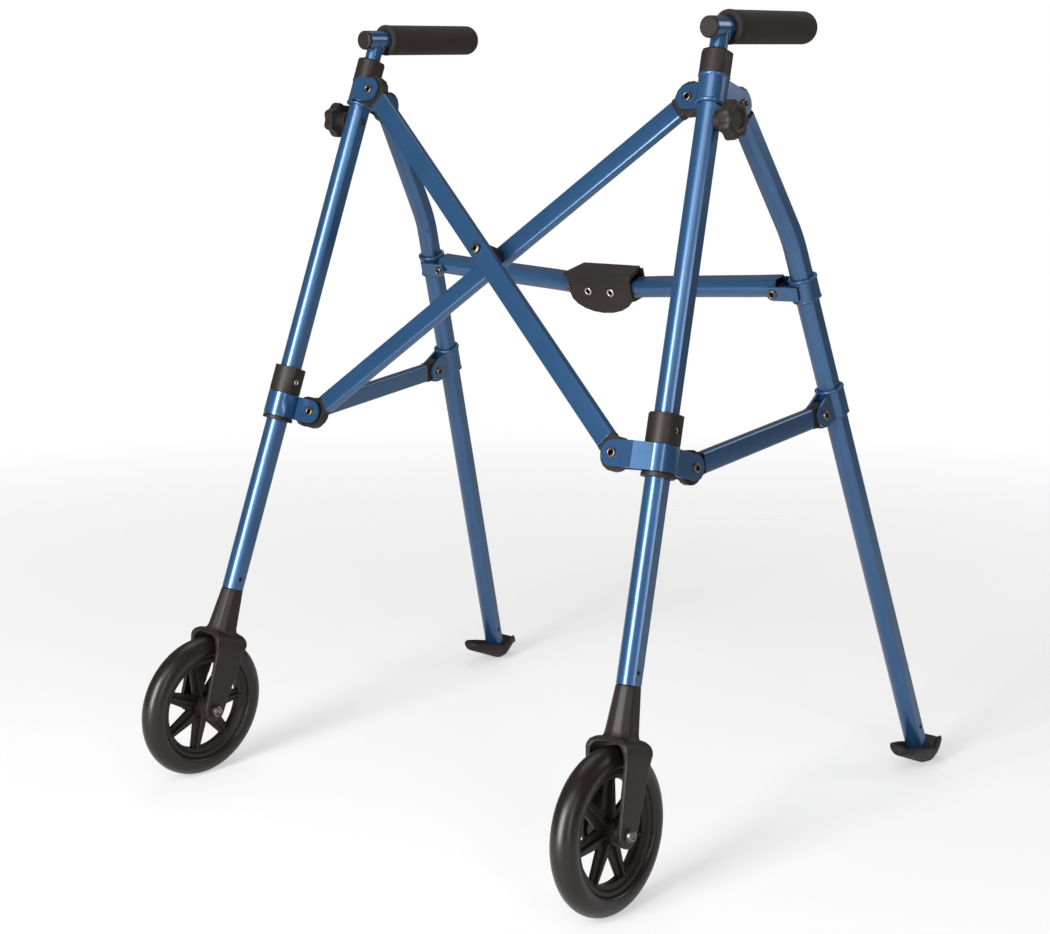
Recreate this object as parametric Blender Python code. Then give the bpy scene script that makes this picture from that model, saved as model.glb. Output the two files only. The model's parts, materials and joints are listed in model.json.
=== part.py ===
"""Two-wheeled folding walker, open and locked, as separate rigid pieces.

Units are metres, +Z is up, +X is the walker's own left-to-right axis and +Y points
back towards the person who holds the grips.  X = 0 is the mirror plane.  The frame is
driven by the crossed bars at the front: their half lengths and their angle give the
place and the splay of both front legs, and the side frames follow from those.
"""

import math

import bmesh
import bpy
from mathutils import Matrix, Vector

# Gaps between pieces that touch, and between pieces that move past each other
GAP = 0.0003
SLIDE_GAP = 0.0003

# How far joined solids overlap, and how far a cut runs past a face
LAP = 0.001
CUT_PAST = 0.005

# Crossed bars at the front, measured in the plane of the front legs
BAR_TOP_LENGTH = 0.2531
BAR_BOTTOM_LENGTH = 0.2793
BAR_ANGLE = math.radians(49.7)
BAR_HEIGHT = 0.021
BAR_THICKNESS = 0.011
BAR_WALL = 0.0015
BAR_CORNER = 0.003
SPACER_LENGTH = 0.022
SPACER_RADIUS = 0.0085
MIDDLE_BOLT_RADIUS = 0.003
MIDDLE_HEAD_RADIUS = 0.0052
MIDDLE_HEAD_HEIGHT = 0.0028
MIDDLE_NUT_RADIUS = 0.0055
MIDDLE_NUT_HEIGHT = 0.004

# Legs: a round tube with two flats, one on each side
LEG_ROUND = 0.0116
LEG_FLAT = 0.0102
LEG_WALL = 0.0014
ARC_STEPS = 4
LEG_ABOVE_HUB = 0.029
HUB_TO_AXLE = 0.6785
HUB_TO_FORK = 0.549

# Pressed brackets, their pivots and their pins
PLATE = 0.0025
BAR_PIVOT_REACH = 0.0325
SIDE_PIVOT_REACH = 0.0395
SLIDER_REACH_STEP = 0.0042
EAR_RADIUS = 0.0124
PIN_RADIUS = 0.0032
PIN_HEAD_RADIUS = 0.0046
PIN_HEAD_HEIGHT = 0.0016
PIN_CLEARANCE = 0.0003
TONGUE_RADIUS = 0.0165
TONGUE_CLEARANCE = 0.0006
HUB_BELOW = 0.0115
HUB_ABOVE = 0.0132
FAR_EAR_LENGTH = 0.0215
JOGGLE_WIDTH = 0.0012
JOGGLE_ROOT = 0.002

# Stop collar, slider and its plastic liner
SLIDER_HEIGHT = 0.025
LINER_WALL = 0.0019
LINER_FLANGE = 0.0045
COLLAR_HEIGHT = 0.0285
COLLAR_WALL = 0.0047
COLLAR_SCREW_RADIUS = 0.0034
COLLAR_SCREW_RECESS = 0.0015

# Height adjustment: bushing, stem, handle tube, grip and clamp knob
BUSHING_HEIGHT = 0.0243
BUSHING_WALL = 0.0033
BUSHING_EDGE = 0.0012
STEM_RADIUS = 0.0085
STEM_WALL = 0.0013
STEM_BELOW_HUB = 0.205
HANDLE_ABOVE_HUB = 0.0615
HANDLE_TILT = math.radians(1.8)
HANDLE_RADIUS = 0.0102
HANDLE_WALL = 0.0015
HANDLE_FRONT = 0.018
HANDLE_REAR = 0.140
GRIP_START = 0.0105
GRIP_LENGTH = 0.1425
GRIP_RADIUS = 0.0163
GRIP_BORE_CLEARANCE = 0.0003
GRIP_EDGE = 0.003
GRIP_NOSE_SHARE = 0.62
CAP_THICKNESS = 0.0035
CAP_EDGE = 0.0015
CAP_DEPTH = 0.006
KNOB_BELOW_HUB = 0.0295
KNOB_RADIUS = 0.0188
KNOB_THICKNESS = 0.013
KNOB_BOSS_RADIUS = 0.009
KNOB_BOSS_LENGTH = 0.0105
KNOB_LOBES = 7
KNOB_VALLEY = 0.0030
KNOB_SCREW_RADIUS = 0.003
KNOB_SCREW_INSIDE = 0.004
KNOB_EDGE = 0.0012
KNOB_TOP_EDGE = 0.003
KNOB_TOP_SHARE = 0.8
STEM_HOLE_RADIUS = 0.0036
STEM_HOLES = 6
STEM_HOLE_PITCH = 0.022

# Fork and wheel
WHEEL_RADIUS = 0.0762
TYRE_WIDTH = 0.0265
TYRE_DEPTH = 0.0200
RIM_DEPTH = 0.004
RIM_WIDTH = 0.018
SPOKES = 7
WHEEL_STEPS = 4 * SPOKES
SPOKE_WEB = 0.0045
SPOKE_RIB = 0.011
SPOKE_ROOT_WIDTH = 0.018
SPOKE_TIP_WIDTH = 0.0085
SPOKE_IN_HUB = 0.0015
SPOKE_START = {1: math.radians(33.2), -1: math.radians(11.3)}
WHEEL_HUB_RADIUS = 0.0115
WHEEL_HUB_STEP = 0.0025
WHEEL_HUB_BEVEL = 0.005
WHEEL_SIDE_GAP = 0.0012
RIM_BEVEL = 0.001
FORK_INSIDE = 0.0182
BLADE = 0.005
CROWN_DEPTH = 0.042
CROWN_THICKNESS = 0.005
WHEEL_TO_CROWN = 0.0015
BLADE_END_RADIUS = 0.0125
NECK_FLARE_SIDE = 0.0035
NECK_FLARE_FRONT = 0.004
NECK_FOOT_SIDE = 0.0075
NECK_FOOT_FRONT = 0.007
NECK_FLARE_HEIGHT = 0.004
SHOULDER_RADIUS = 0.013
ARCH_RADIUS = 0.011
CROWN_ROUND = 0.010
WAIST_DROP = 0.016
WAIST_RISE = 0.010
WAIST_STEP = 0.003
AXLE_RADIUS = 0.004
BOLT_HEAD_RADIUS = 0.0062
BOLT_HEAD_HEIGHT = 0.005
BOLT_NUT_EDGE = 0.0026
BOLT_NUT_HEIGHT = 0.0044
NECK_PLUG = 0.045

# Rear leg, drawn in the plane of the side frame
SIDE_TOE = math.radians(4.4)
REAR_TOP_ANGLE = math.radians(50.3)
REAR_LOW_ANGLE = math.radians(36.9)
REAR_TOP_LENGTH = 0.151
REAR_LOW_LENGTH = 0.596
LEG_END_TO_FLOOR = 0.01886
REAR_BEND_RADIUS = 0.15
LEG_START = 0.0146
REAR_PLUG = 0.020

# Cross-bar ring and brace bracket on the rear leg
RING_DROP = 0.0535
RING_HEIGHT = 0.0215
RING_WALL = 0.0024
RING_TOE = math.radians(3.85)
RING_EAR_LENGTH = 0.028
BRACKET_DROP = 0.1765
BRACKET_PIN_DROP = 0.0027
BRACKET_HEIGHT = 0.0285
BRACKET_REACH = 0.0285
BRACE_CAP = 0.0175
CAP_PLUG = 0.018
LOW_CAP_CLEARANCE = 0.0023

# Folding cross bar with its lifting latch
RING_PIN_X = 0.2225
RING_PIN_DROP = 0.0
RING_PIN_FRONT = 0.0044
LATCH_PIN_X = 0.015
LATCH_PIN_BACK = 0.0025
LATCH_PIN_DROP = 0.0146
HALF_BAR_LIFT_OUTER = 0.0030
HALF_BAR_LIFT_INNER = 0.0
HALF_BAR_FLAT = 0.0093
HALF_BAR_INNER = 0.0395
HALF_PLUG_RADIUS = 0.0085
HALF_PLUG_STEP = 0.0006
HALF_PLUG_SHARE = 1.0 / 12.0
HALF_BAR_PAST_PIN = 0.0035
RING_EAR_RADIUS = 0.0072
LATCH_HALF_WIDTH = 0.0415
LATCH_DEPTH_BELOW_PIN = 0.0252
LATCH_WALL = 0.0025
LATCH_TOP = 0.0045
LATCH_LIP = 0.004
LATCH_HEAD_ROOM = 0.0045
LATCH_RIB = 0.012
LATCH_SIDE_DROP = 0.004
LATCH_FRONT_LIP = 0.003
LATCH_REAR_STEP = 0.004

# Ski glides under the rear legs
GLIDE_FRONT = 0.0555
GLIDE_REAR = 0.030
GLIDE_WIDTH = 0.038
GLIDE_SOLE = 0.003
GLIDE_FRONT_RAMP = math.radians(22.5)
GLIDE_REAR_RAMP = math.radians(32.0)
GLIDE_TOE_HEIGHT = 0.0095
GLIDE_TOE_BASE = 0.0125
GLIDE_MIDDLE_RIM = 0.021
GLIDE_BACK_RIM = 0.033
GLIDE_HEEL_RIM = 0.0255
GLIDE_BACK = 0.018
GLIDE_DISH = 0.006
GLIDE_SOCKET = 0.0022
GLIDE_SOCKET_DEPTH = 0.002
GLIDE_PLUG = 0.030

ROUND_STEPS = 16
MIRROR_X = Matrix.Diagonal((-1.0, 1.0, 1.0, 1.0))
LAY_ALONG_X = Matrix(((0.0, 0.0, 1.0, 0.0), (1.0, 0.0, 0.0, 0.0), (0.0, 1.0, 0.0, 0.0), (0.0, 0.0, 0.0, 1.0)))

COLOURS = {
    "blue": ((0.040, 0.105, 0.235, 1.0), 0.32, 0.75),
    "black": ((0.022, 0.018, 0.016, 1.0), 0.48, 0.0),
    "rubber": ((0.016, 0.014, 0.013, 1.0), 0.36, 0.0),
    "foam": ((0.030, 0.024, 0.021, 1.0), 0.90, 0.0),
    "steel": ((0.42, 0.37, 0.33, 1.0), 0.30, 1.0),
}


def clear_scene():
    """Remove every object, mesh and material that is already there."""
    for obj in list(bpy.data.objects):
        bpy.data.objects.remove(obj, do_unlink=True)
    for mesh in list(bpy.data.meshes):
        bpy.data.meshes.remove(mesh)
    for material in list(bpy.data.materials):
        bpy.data.materials.remove(material)


def make_materials():
    """Make one Principled material for each finish."""
    materials = {}
    for name, (colour, roughness, metallic) in COLOURS.items():
        material = bpy.data.materials.new(name)
        material.use_nodes = True
        shader = material.node_tree.nodes["Principled BSDF"]
        shader.inputs["Base Color"].default_value = colour
        shader.inputs["Roughness"].default_value = roughness
        shader.inputs["Metallic"].default_value = metallic
        material.diffuse_color = colour
        materials[name] = material
    return materials


# Frames

def frame_of(origin, x_axis, y_axis):
    """Frame with the given origin, x axis and the y axis closest to y_axis."""
    x = Vector(x_axis).normalized()
    z = x.cross(Vector(y_axis)).normalized()
    y = z.cross(x)
    matrix = Matrix((x, y, z)).transposed().to_4x4()
    matrix.translation = Vector(origin)
    return matrix


def shifted(frame, x=0.0, y=0.0, z=0.0):
    """The same frame moved along its own axes."""
    return frame @ Matrix.Translation((x, y, z))


def on_side(frame, side):
    """The frame itself on the right (+1), or its mirror image on the left (-1)."""
    if side > 0:
        return frame.copy()
    return MIRROR_X @ frame @ MIRROR_X


# Outlines, as lists of points that run anticlockwise

def tube_outline(half_flat, radius, steps=ARC_STEPS):
    """Round outline cut by two flats that face -X and +X."""
    start = math.acos(half_flat / radius)
    points = []
    for base in (0.0, math.pi):
        for i in range(steps + 1):
            angle = base + start + (math.pi - 2.0 * start) * i / steps
            points.append((radius * math.cos(angle), radius * math.sin(angle)))
    return points


def circle_outline(radius, steps=ROUND_STEPS, centre=(0.0, 0.0), start=0.0):
    """Circle of the given radius."""
    turn = 2.0 * math.pi
    return [(centre[0] + radius * math.cos(start + turn * i / steps),
             centre[1] + radius * math.sin(start + turn * i / steps)) for i in range(steps)]


def rounded_box_outline(width, height, corner, steps=2):
    """Rectangle with rounded corners, centred on the origin."""
    points = []
    for quarter, (sx, sy) in enumerate(((1, 1), (-1, 1), (-1, -1), (1, -1))):
        cx = sx * (width / 2.0 - corner)
        cy = sy * (height / 2.0 - corner)
        for i in range(steps + 1):
            angle = math.pi / 2.0 * (quarter + i / steps)
            points.append((cx + corner * math.cos(angle), cy + corner * math.sin(angle)))
    return points


def ear_outline(reach, radius, root, half_root, steps=7):
    """Plate from x = root to a round end about x = reach, on the +X side."""
    points = [(root, half_root), (root, -half_root)]
    for i in range(steps + 1):
        angle = -math.pi / 2.0 + math.pi * i / steps
        points.append((reach + radius * math.cos(angle), radius * math.sin(angle)))
    return points


# Meshes

def loft(loops, closed_ends=True):
    """Skin a list of loops of 3-D points that all have the same count."""
    bm = bmesh.new()
    rings = [[bm.verts.new(point) for point in loop] for loop in loops]
    count = len(rings[0])
    for lower, upper in zip(rings, rings[1:]):
        for i in range(count):
            j = (i + 1) % count
            bm.faces.new((lower[i], lower[j], upper[j], upper[i]))
    if closed_ends:
        bm.faces.new(tuple(reversed(rings[0])))
        bm.faces.new(tuple(rings[-1]))
    else:
        first, last = rings[0], rings[-1]
        for i in range(count):
            j = (i + 1) % count
            bm.faces.new((last[i], last[j], first[j], first[i]))
    return bm


def at_height(outline, z):
    """Place a flat outline at height z."""
    return [Vector((x, y, z)) for x, y in outline]


def prism(outline, z0, z1):
    """Solid of an outline between two heights."""
    return loft([at_height(outline, z0), at_height(outline, z1)])


def hollow_prism(outer, inner, z0, z1):
    """Tube of two outlines with the same count between two heights."""
    return loft([at_height(outer, z0), at_height(outer, z1),
                 at_height(inner, z1), at_height(inner, z0)], closed_ends=False)


def turned(profile, steps=ROUND_STEPS):
    """Turn a closed profile of (radius, height) points about Z.

    The profile runs anticlockwise in the half plane of radius and height.  Points on
    the axis become poles.
    """
    bm = bmesh.new()
    rings = []
    for radius, height in profile:
        if radius < 1e-9:
            rings.append([bm.verts.new((0.0, 0.0, height))])
        else:
            rings.append([bm.verts.new((x, y, height)) for x, y in circle_outline(radius, steps)])
    pairs = list(zip(rings, rings[1:] + rings[:1]))
    for lower, upper in pairs:
        if len(lower) == 1 and len(upper) == 1:
            continue
        for i in range(steps):
            j = (i + 1) % steps
            if len(lower) == 1:
                bm.faces.new((lower[0], upper[j], upper[i]))
            elif len(upper) == 1:
                bm.faces.new((lower[i], lower[j], upper[0]))
            else:
                bm.faces.new((lower[i], lower[j], upper[j], upper[i]))
    return bm


def moved(bm, matrix):
    """Move a mesh and return it."""
    bmesh.ops.transform(bm, matrix=matrix, verts=bm.verts)
    if matrix.determinant() < 0.0:
        bmesh.ops.reverse_faces(bm, faces=bm.faces)
    return bm


def to_mesh(bm, name):
    """Turn a bmesh into a mesh with outward faces."""
    bmesh.ops.recalc_face_normals(bm, faces=bm.faces)
    mesh = bpy.data.meshes.new(name)
    bm.to_mesh(mesh)
    bm.free()
    return mesh


def combine(base, tools):
    """Cut or join tools with a base mesh, in order, by exact Booleans."""
    base_object = bpy.data.objects.new("base", to_mesh(base, "base"))
    bpy.context.scene.collection.objects.link(base_object)
    tool_objects = []
    for operation, tool in tools:
        tool_object = bpy.data.objects.new("tool", to_mesh(tool, "tool"))
        bpy.context.scene.collection.objects.link(tool_object)
        modifier = base_object.modifiers.new(operation, "BOOLEAN")
        modifier.operation = operation
        modifier.solver = "EXACT"
        modifier.object = tool_object
        tool_objects.append(tool_object)
    bpy.context.view_layer.update()
    depsgraph = bpy.context.evaluated_depsgraph_get()
    result = bpy.data.meshes.new_from_object(base_object.evaluated_get(depsgraph))
    bm = bmesh.new()
    bm.from_mesh(result)
    for obj in [base_object] + tool_objects:
        mesh = obj.data
        bpy.data.objects.remove(obj, do_unlink=True)
        bpy.data.meshes.remove(mesh)
    bpy.data.meshes.remove(result)
    bmesh.ops.remove_doubles(bm, verts=bm.verts, dist=1e-6)
    bmesh.ops.dissolve_degenerate(bm, edges=bm.edges, dist=1e-6)
    return bm


def join(base, *tools):
    """Union of meshes as one body."""
    return combine(base, [("UNION", tool) for tool in tools])


def cut(base, *tools):
    """Base mesh with tools taken away."""
    return combine(base, [("DIFFERENCE", tool) for tool in tools])


def rod(radius, start, end, steps=10):
    """Solid round bar between two points."""
    start, end = Vector(start), Vector(end)
    axis = end - start
    turn = axis.to_track_quat("Z", "Y").to_matrix().to_4x4()
    bm = prism(circle_outline(radius, steps, start=math.pi / steps), 0.0, axis.length)
    return moved(bm, Matrix.Translation(start) @ turn)


def plate_across_y(outline, y0, y1):
    """Plate whose outline lies in X-Z and whose thickness runs from y0 to y1."""
    loops = [[Vector((x, y, z)) for x, z in outline] for y in (y0, y1)]
    return loft(loops)


def plate_across_x(outline, x0, x1):
    """Plate whose outline lies in Y-Z and whose thickness runs from x0 to x1."""
    loops = [[Vector((x, y, z)) for y, z in outline] for x in (x0, x1)]
    return loft(loops)


class Walker:
    """Builds every piece of the walker and places it on its joint."""

    def __init__(self):
        self.materials = make_materials()
        self.empties = {}
        self.solve_layout()

    # Layout

    def solve_layout(self):
        """Work out the frames of the walker from its driving dimensions."""
        total = BAR_TOP_LENGTH + BAR_BOTTOM_LENGTH
        spread = BAR_BOTTOM_LENGTH - BAR_TOP_LENGTH
        pins_apart = math.hypot(total * math.cos(BAR_ANGLE), spread * math.sin(BAR_ANGLE))
        self.splay = math.atan(spread / total * math.tan(BAR_ANGLE)) \
            + math.asin(SLIDER_REACH_STEP / pins_apart)
        self.pivot_drop = math.sqrt(pins_apart ** 2 - SLIDER_REACH_STEP ** 2)
        self.rake = self.solve_rake()
        across = Vector((1.0, 0.0, 0.0))
        pivot_x = BAR_TOP_LENGTH * math.sin(BAR_ANGLE)
        hub_x = pivot_x + BAR_PIVOT_REACH * math.cos(self.splay)
        up, back, out, leg_up, side_out, side_back = self.leaning(self.rake)
        hub = Vector((hub_x, 0.0, self.hub_height(out, leg_up)))
        front_edge = hub.y - HUB_TO_AXLE * leg_up.y - WHEEL_RADIUS
        pivot, bend, foot, top_dir, low_dir = self.rear_points(hub, leg_up, side_back)
        rear_edge = foot.y + GLIDE_REAR
        shift = Vector((0.0, -(front_edge + rear_edge) / 2.0, 0.0))
        self.hub_point = hub + shift
        self.side_pivot = pivot + shift
        self.bend = bend + shift
        self.foot = foot + shift
        self.low_dir = low_dir
        self.top_dir = top_dir
        self.leg_up = leg_up
        self.leg = frame_of(self.hub_point, out, back)
        self.side = frame_of(self.hub_point, side_out, side_back)
        low_back = side_out.cross(low_dir)
        self.rear_top = frame_of(self.side_pivot, side_out, side_out.cross(top_dir))
        self.rear_low = frame_of(self.bend, side_out, low_back)
        self.lane = (SPACER_LENGTH + BAR_THICKNESS) / 2.0
        middle_drop = BAR_TOP_LENGTH * math.cos(BAR_ANGLE) + BAR_PIVOT_REACH * math.sin(self.splay)
        middle = self.hub_point - up * middle_drop
        self.middle = frame_of((0.0, middle.y, middle.z), across, back)
        self.solve_cross_bar()

    def leaning(self, rake):
        """Axes of the front plane, the right leg and the right side frame at a rake."""
        across = Vector((1.0, 0.0, 0.0))
        up = Vector((0.0, math.sin(rake), math.cos(rake)))
        back = Vector((0.0, math.cos(rake), -math.sin(rake)))
        out = across * math.cos(self.splay) + up * math.sin(self.splay)
        leg_up = up * math.cos(self.splay) - across * math.sin(self.splay)
        side_back = back * math.cos(SIDE_TOE) + out * math.sin(SIDE_TOE)
        side_out = out * math.cos(SIDE_TOE) - back * math.sin(SIDE_TOE)
        return up, back, out, leg_up, side_out, side_back

    def hub_height(self, out, leg_up):
        """Height of the hub above the floor that the front tyre stands on."""
        camber = math.asin(out.z)
        tyre_round = TYRE_WIDTH / 2.0
        axle_height = (WHEEL_RADIUS - tyre_round) * math.cos(camber) + tyre_round
        return axle_height + HUB_TO_AXLE * leg_up.z

    def rear_points(self, hub, leg_up, side_back):
        """Side pivot, bend and foot of the rear leg, and the directions of its two parts."""
        pivot = hub + side_back * SIDE_PIVOT_REACH
        top_dir = side_back * math.sin(REAR_TOP_ANGLE) - leg_up * math.cos(REAR_TOP_ANGLE)
        low_dir = side_back * math.sin(REAR_LOW_ANGLE) - leg_up * math.cos(REAR_LOW_ANGLE)
        bend = pivot + top_dir * REAR_TOP_LENGTH
        foot = bend + low_dir * (REAR_LOW_LENGTH + LEG_END_TO_FLOOR)
        return pivot, bend, foot, top_dir, low_dir

    def solve_rake(self):
        """Rake of the front legs at which the wheels and the rear feet share one floor."""
        low = 0.0
        high = REAR_LOW_ANGLE
        for _ in range(60):
            rake = (low + high) / 2.0
            _, _, out, leg_up, _, side_back = self.leaning(rake)
            hub = Vector((0.0, 0.0, self.hub_height(out, leg_up)))
            foot = self.rear_points(hub, leg_up, side_back)[2]
            if foot.z > 0.0:
                low = rake
            else:
                high = rake
        return rake

    def solve_cross_bar(self):
        """Frames of the folding cross bar, square to the lower rear legs."""
        ring = self.bend + self.low_dir * RING_DROP
        lean = math.atan2(self.low_dir.y, -self.low_dir.z)
        back = Vector((0.0, math.cos(lean), math.sin(lean)))
        self.cross = frame_of((0.0, ring.y, ring.z), (1.0, 0.0, 0.0), back)
        self.ring_pin = self.cross @ Vector((RING_PIN_X, -RING_PIN_FRONT, -RING_PIN_DROP))
        self.latch_pin = self.cross @ Vector((LATCH_PIN_X, LATCH_PIN_BACK, -LATCH_PIN_DROP))

    # Placement

    def joint(self, name, frame, side):
        """Empty on a joint's axis, which carries the pieces that move there."""
        empty = bpy.data.objects.new(name, None)
        empty.empty_display_size = 0.02
        empty.matrix_world = on_side(frame, side)
        bpy.context.scene.collection.objects.link(empty)
        self.empties[name] = empty.matrix_world.copy()
        return empty

    def add(self, name, bm, frame, side, finish, parent=None):
        """Make a named object from a mesh drawn in a frame on the right side."""
        if side < 0:
            bm = moved(bm, MIRROR_X)
        bmesh.ops.triangulate(bm, faces=[f for f in bm.faces if len(f.verts) > 4])
        mesh = to_mesh(bm, name)
        mesh.shade_smooth()
        mesh.set_sharp_from_angle(angle=math.radians(32.0))
        mesh.materials.append(self.materials[finish])
        obj = bpy.data.objects.new(name, mesh)
        bpy.context.scene.collection.objects.link(obj)
        world = on_side(frame, side)
        if parent is None:
            obj.matrix_world = world
        else:
            obj.parent = parent
            obj.matrix_basis = self.empties[parent.name].inverted() @ world
        return obj

    # Brackets

    def lane_y(self, side, at_hub):
        """Place of the crossed bar's middle plane behind the leg's axis.

        The rear bar runs from the right hub to the left slider and the front bar from
        the left hub to the right slider.
        """
        rear = (side > 0) == at_hub
        return self.lane if rear else -self.lane

    def bar_clevis(self, reach, lane, wall, low, high, through_pin):
        """Two ears for a crossed bar, inboard of a sleeve, with their pin."""
        sign = 1.0 if lane > 0.0 else -1.0
        middle = (low + high) / 2.0
        half = (high - low) / 2.0
        gap = BAR_THICKNESS / 2.0 + GAP
        outline = [(-x, z) for x, z in reversed(ear_outline(reach, EAR_RADIUS, 0.0, half))]
        outline = [(x, z if abs(x) > reach * 0.999 else z + middle) for x, z in outline]
        near = [(x, z) for x, z in outline]
        near_root = LEG_ROUND * 0.86
        far_root = reach - FAR_EAR_LENGTH
        near_face = abs(lane) - gap
        far_face = abs(lane) + gap
        near_plate = [(min(x, -near_root), z) for x, z in near]
        far_plate = [(min(x, -far_root), z) for x, z in near]
        pieces = [plate_across_y(near_plate, sign * (near_face - PLATE), sign * near_face),
                  plate_across_y(far_plate, sign * far_face, sign * (far_face + PLATE))]
        web = [(-far_root - LAP, sign * (far_face + PLATE)),
               (-far_root - LAP, sign * far_face),
               (-far_root + JOGGLE_WIDTH, sign * far_face),
               (JOGGLE_ROOT, sign * (LEG_ROUND + wall * 0.15)),
               (JOGGLE_ROOT, sign * (LEG_ROUND + wall))]
        if sign < 0.0:
            web.reverse()
        pieces.append(prism(web, low, high))
        outer = sign * (far_face + PLATE + PIN_HEAD_HEIGHT)
        inner = sign * (near_face - PLATE - PIN_HEAD_HEIGHT)
        x = -reach
        if through_pin:
            pieces.append(rod(PIN_RADIUS, (x, inner, 0.0), (x, outer, 0.0)))
        pieces.append(rod(PIN_HEAD_RADIUS, (x, outer, 0.0), (x, sign * (far_face + PLATE * 0.5), 0.0)))
        pieces.append(rod(PIN_HEAD_RADIUS, (x, inner, 0.0), (x, sign * (near_face - PLATE * 0.5), 0.0)))
        return pieces

    def side_clevis(self, reach, wall, low, high, through_pin, drop=0.0):
        """Two ears for a side pivot, behind a sleeve, drawn in the side frame."""
        gap = BAR_THICKNESS / 2.0 + GAP
        outline = ear_outline(reach, EAR_RADIUS, LEG_ROUND + wall * 0.4, (high - low) / 2.0)
        middle = (low + high) / 2.0
        outline = [(y, z + drop if y > reach * 0.999 else z + middle) for y, z in outline]
        pieces = []
        for sign in (1.0, -1.0):
            faces = sorted((sign * gap, sign * (gap + PLATE)))
            pieces.append(plate_across_x(outline, faces[0], faces[1]))
            head = (sign * (gap + PLATE + PIN_HEAD_HEIGHT), reach, drop)
            pieces.append(rod(PIN_HEAD_RADIUS, head, (sign * (gap + PLATE * 0.5), reach, drop)))
        if through_pin:
            pieces.append(rod(PIN_RADIUS, (-gap - PLATE, reach, drop), (gap + PLATE, reach, drop)))
        return pieces

    def sleeve(self, clearance, wall, low, high):
        """Sleeve that follows the leg's outline with a clearance and a wall."""
        inner = tube_outline(LEG_FLAT + clearance, LEG_ROUND + clearance)
        outer = tube_outline(LEG_FLAT + clearance + wall, LEG_ROUND + clearance + wall)
        return hollow_prism(outer, inner, low, high)

    def sleeve_cutter(self, clearance, low, high):
        """Solid of the space inside a sleeve, longer at both ends."""
        return prism(tube_outline(LEG_FLAT + clearance, LEG_ROUND + clearance), low - CUT_PAST, high + CUT_PAST)

    # Front legs

    def front_leg(self, side, tag, parent):
        """Leg tube with the hole for the clamp knob's screw."""
        outer = tube_outline(LEG_FLAT, LEG_ROUND)
        inner = tube_outline(LEG_FLAT - LEG_WALL, LEG_ROUND - LEG_WALL)
        tube = hollow_prism(outer, inner, -HUB_TO_FORK, LEG_ABOVE_HUB)
        hole = rod(KNOB_SCREW_RADIUS + 2.0 * SLIDE_GAP, (LEG_FLAT / 2.0, 0.0, -KNOB_BELOW_HUB),
                   (LEG_FLAT + CUT_PAST, 0.0, -KNOB_BELOW_HUB))
        self.add(tag + "_front_leg", cut(tube, hole), self.leg, side, "blue", parent)

    def hub_bracket(self, side, tag, parent):
        """Welded hub at the top of the leg, with ears for a crossed bar and the rear leg."""
        wall = PLATE
        turn = Matrix.Rotation(-SIDE_TOE, 4, "Z")
        body = self.sleeve(GAP, wall, -HUB_BELOW, HUB_ABOVE)
        parts = self.bar_clevis(BAR_PIVOT_REACH, self.lane_y(side, True), wall, -HUB_BELOW, HUB_ABOVE, True)
        for piece in self.side_clevis(SIDE_PIVOT_REACH, wall, -HUB_BELOW, HUB_ABOVE, True):
            parts.append(moved(piece, turn))
        body = join(body, *parts)
        body = cut(body, self.sleeve_cutter(GAP, -HUB_BELOW, HUB_ABOVE))
        self.add(tag + "_hub_bracket", body, self.leg, side, "blue", parent)

    def top_bushing(self, side, tag, parent):
        """Plastic bushing over the leg's end, closing in on the stem."""
        low = HUB_ABOVE + GAP
        high = low + BUSHING_HEIGHT
        wall = BUSHING_WALL
        outer = tube_outline(LEG_FLAT + wall, LEG_ROUND + wall)
        top = tube_outline(LEG_FLAT + wall - BUSHING_EDGE, LEG_ROUND + wall - BUSHING_EDGE)
        body = loft([at_height(outer, low), at_height(outer, high - BUSHING_EDGE), at_height(top, high)])
        socket = prism(tube_outline(LEG_FLAT + GAP, LEG_ROUND + GAP), low - BUSHING_EDGE, LEG_ABOVE_HUB + GAP)
        throat = rod(STEM_RADIUS + SLIDE_GAP, (0.0, 0.0, low), (0.0, 0.0, high + BUSHING_EDGE), ROUND_STEPS)
        bm = cut(body, socket, throat)
        self.add(tag + "_top_bushing", bm, self.leg, side, "black", parent)

    def stop_collar(self, side, tag, parent):
        """Plastic collar that the slider comes up against when the walker is open."""
        high = self.slider_top() + GAP + COLLAR_HEIGHT
        low = self.slider_top() + GAP
        bm = self.sleeve(GAP, COLLAR_WALL, low, high)
        face = LEG_FLAT + COLLAR_WALL
        middle = (low + high) / 2.0
        screw = rod(COLLAR_SCREW_RADIUS, (face - COLLAR_SCREW_RECESS, 0.0, middle),
                    (face + CUT_PAST, 0.0, middle))
        self.add(tag + "_stop_collar", cut(bm, screw), self.leg, side, "black", parent)

    def slider_top(self):
        """Height of the slider's upper edge in the leg's frame."""
        return -self.pivot_drop + SLIDER_HEIGHT / 2.0

    def slider_bracket(self, side, tag, parent):
        """Sliding sleeve with ears for the other crossed bar and the side brace."""
        low = -SLIDER_HEIGHT / 2.0
        high = SLIDER_HEIGHT / 2.0
        clearance = SLIDE_GAP + LINER_WALL + GAP
        turn = Matrix.Rotation(-SIDE_TOE, 4, "Z")
        wall = clearance + PLATE - GAP
        body = self.sleeve(clearance, PLATE, low, high)
        bar_reach = BAR_PIVOT_REACH + SLIDER_REACH_STEP
        side_reach = SIDE_PIVOT_REACH + SLIDER_REACH_STEP
        parts = self.bar_clevis(bar_reach, self.lane_y(side, False), wall, low, high, False)
        for piece in self.side_clevis(side_reach, wall, low, high, False):
            parts.append(moved(piece, turn))
        body = join(body, *parts)
        body = cut(body, self.sleeve_cutter(clearance, low, high))
        frame = shifted(self.leg, z=-self.pivot_drop)
        self.add(tag + "_slider_bracket", body, frame, side, "blue", parent)

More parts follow.
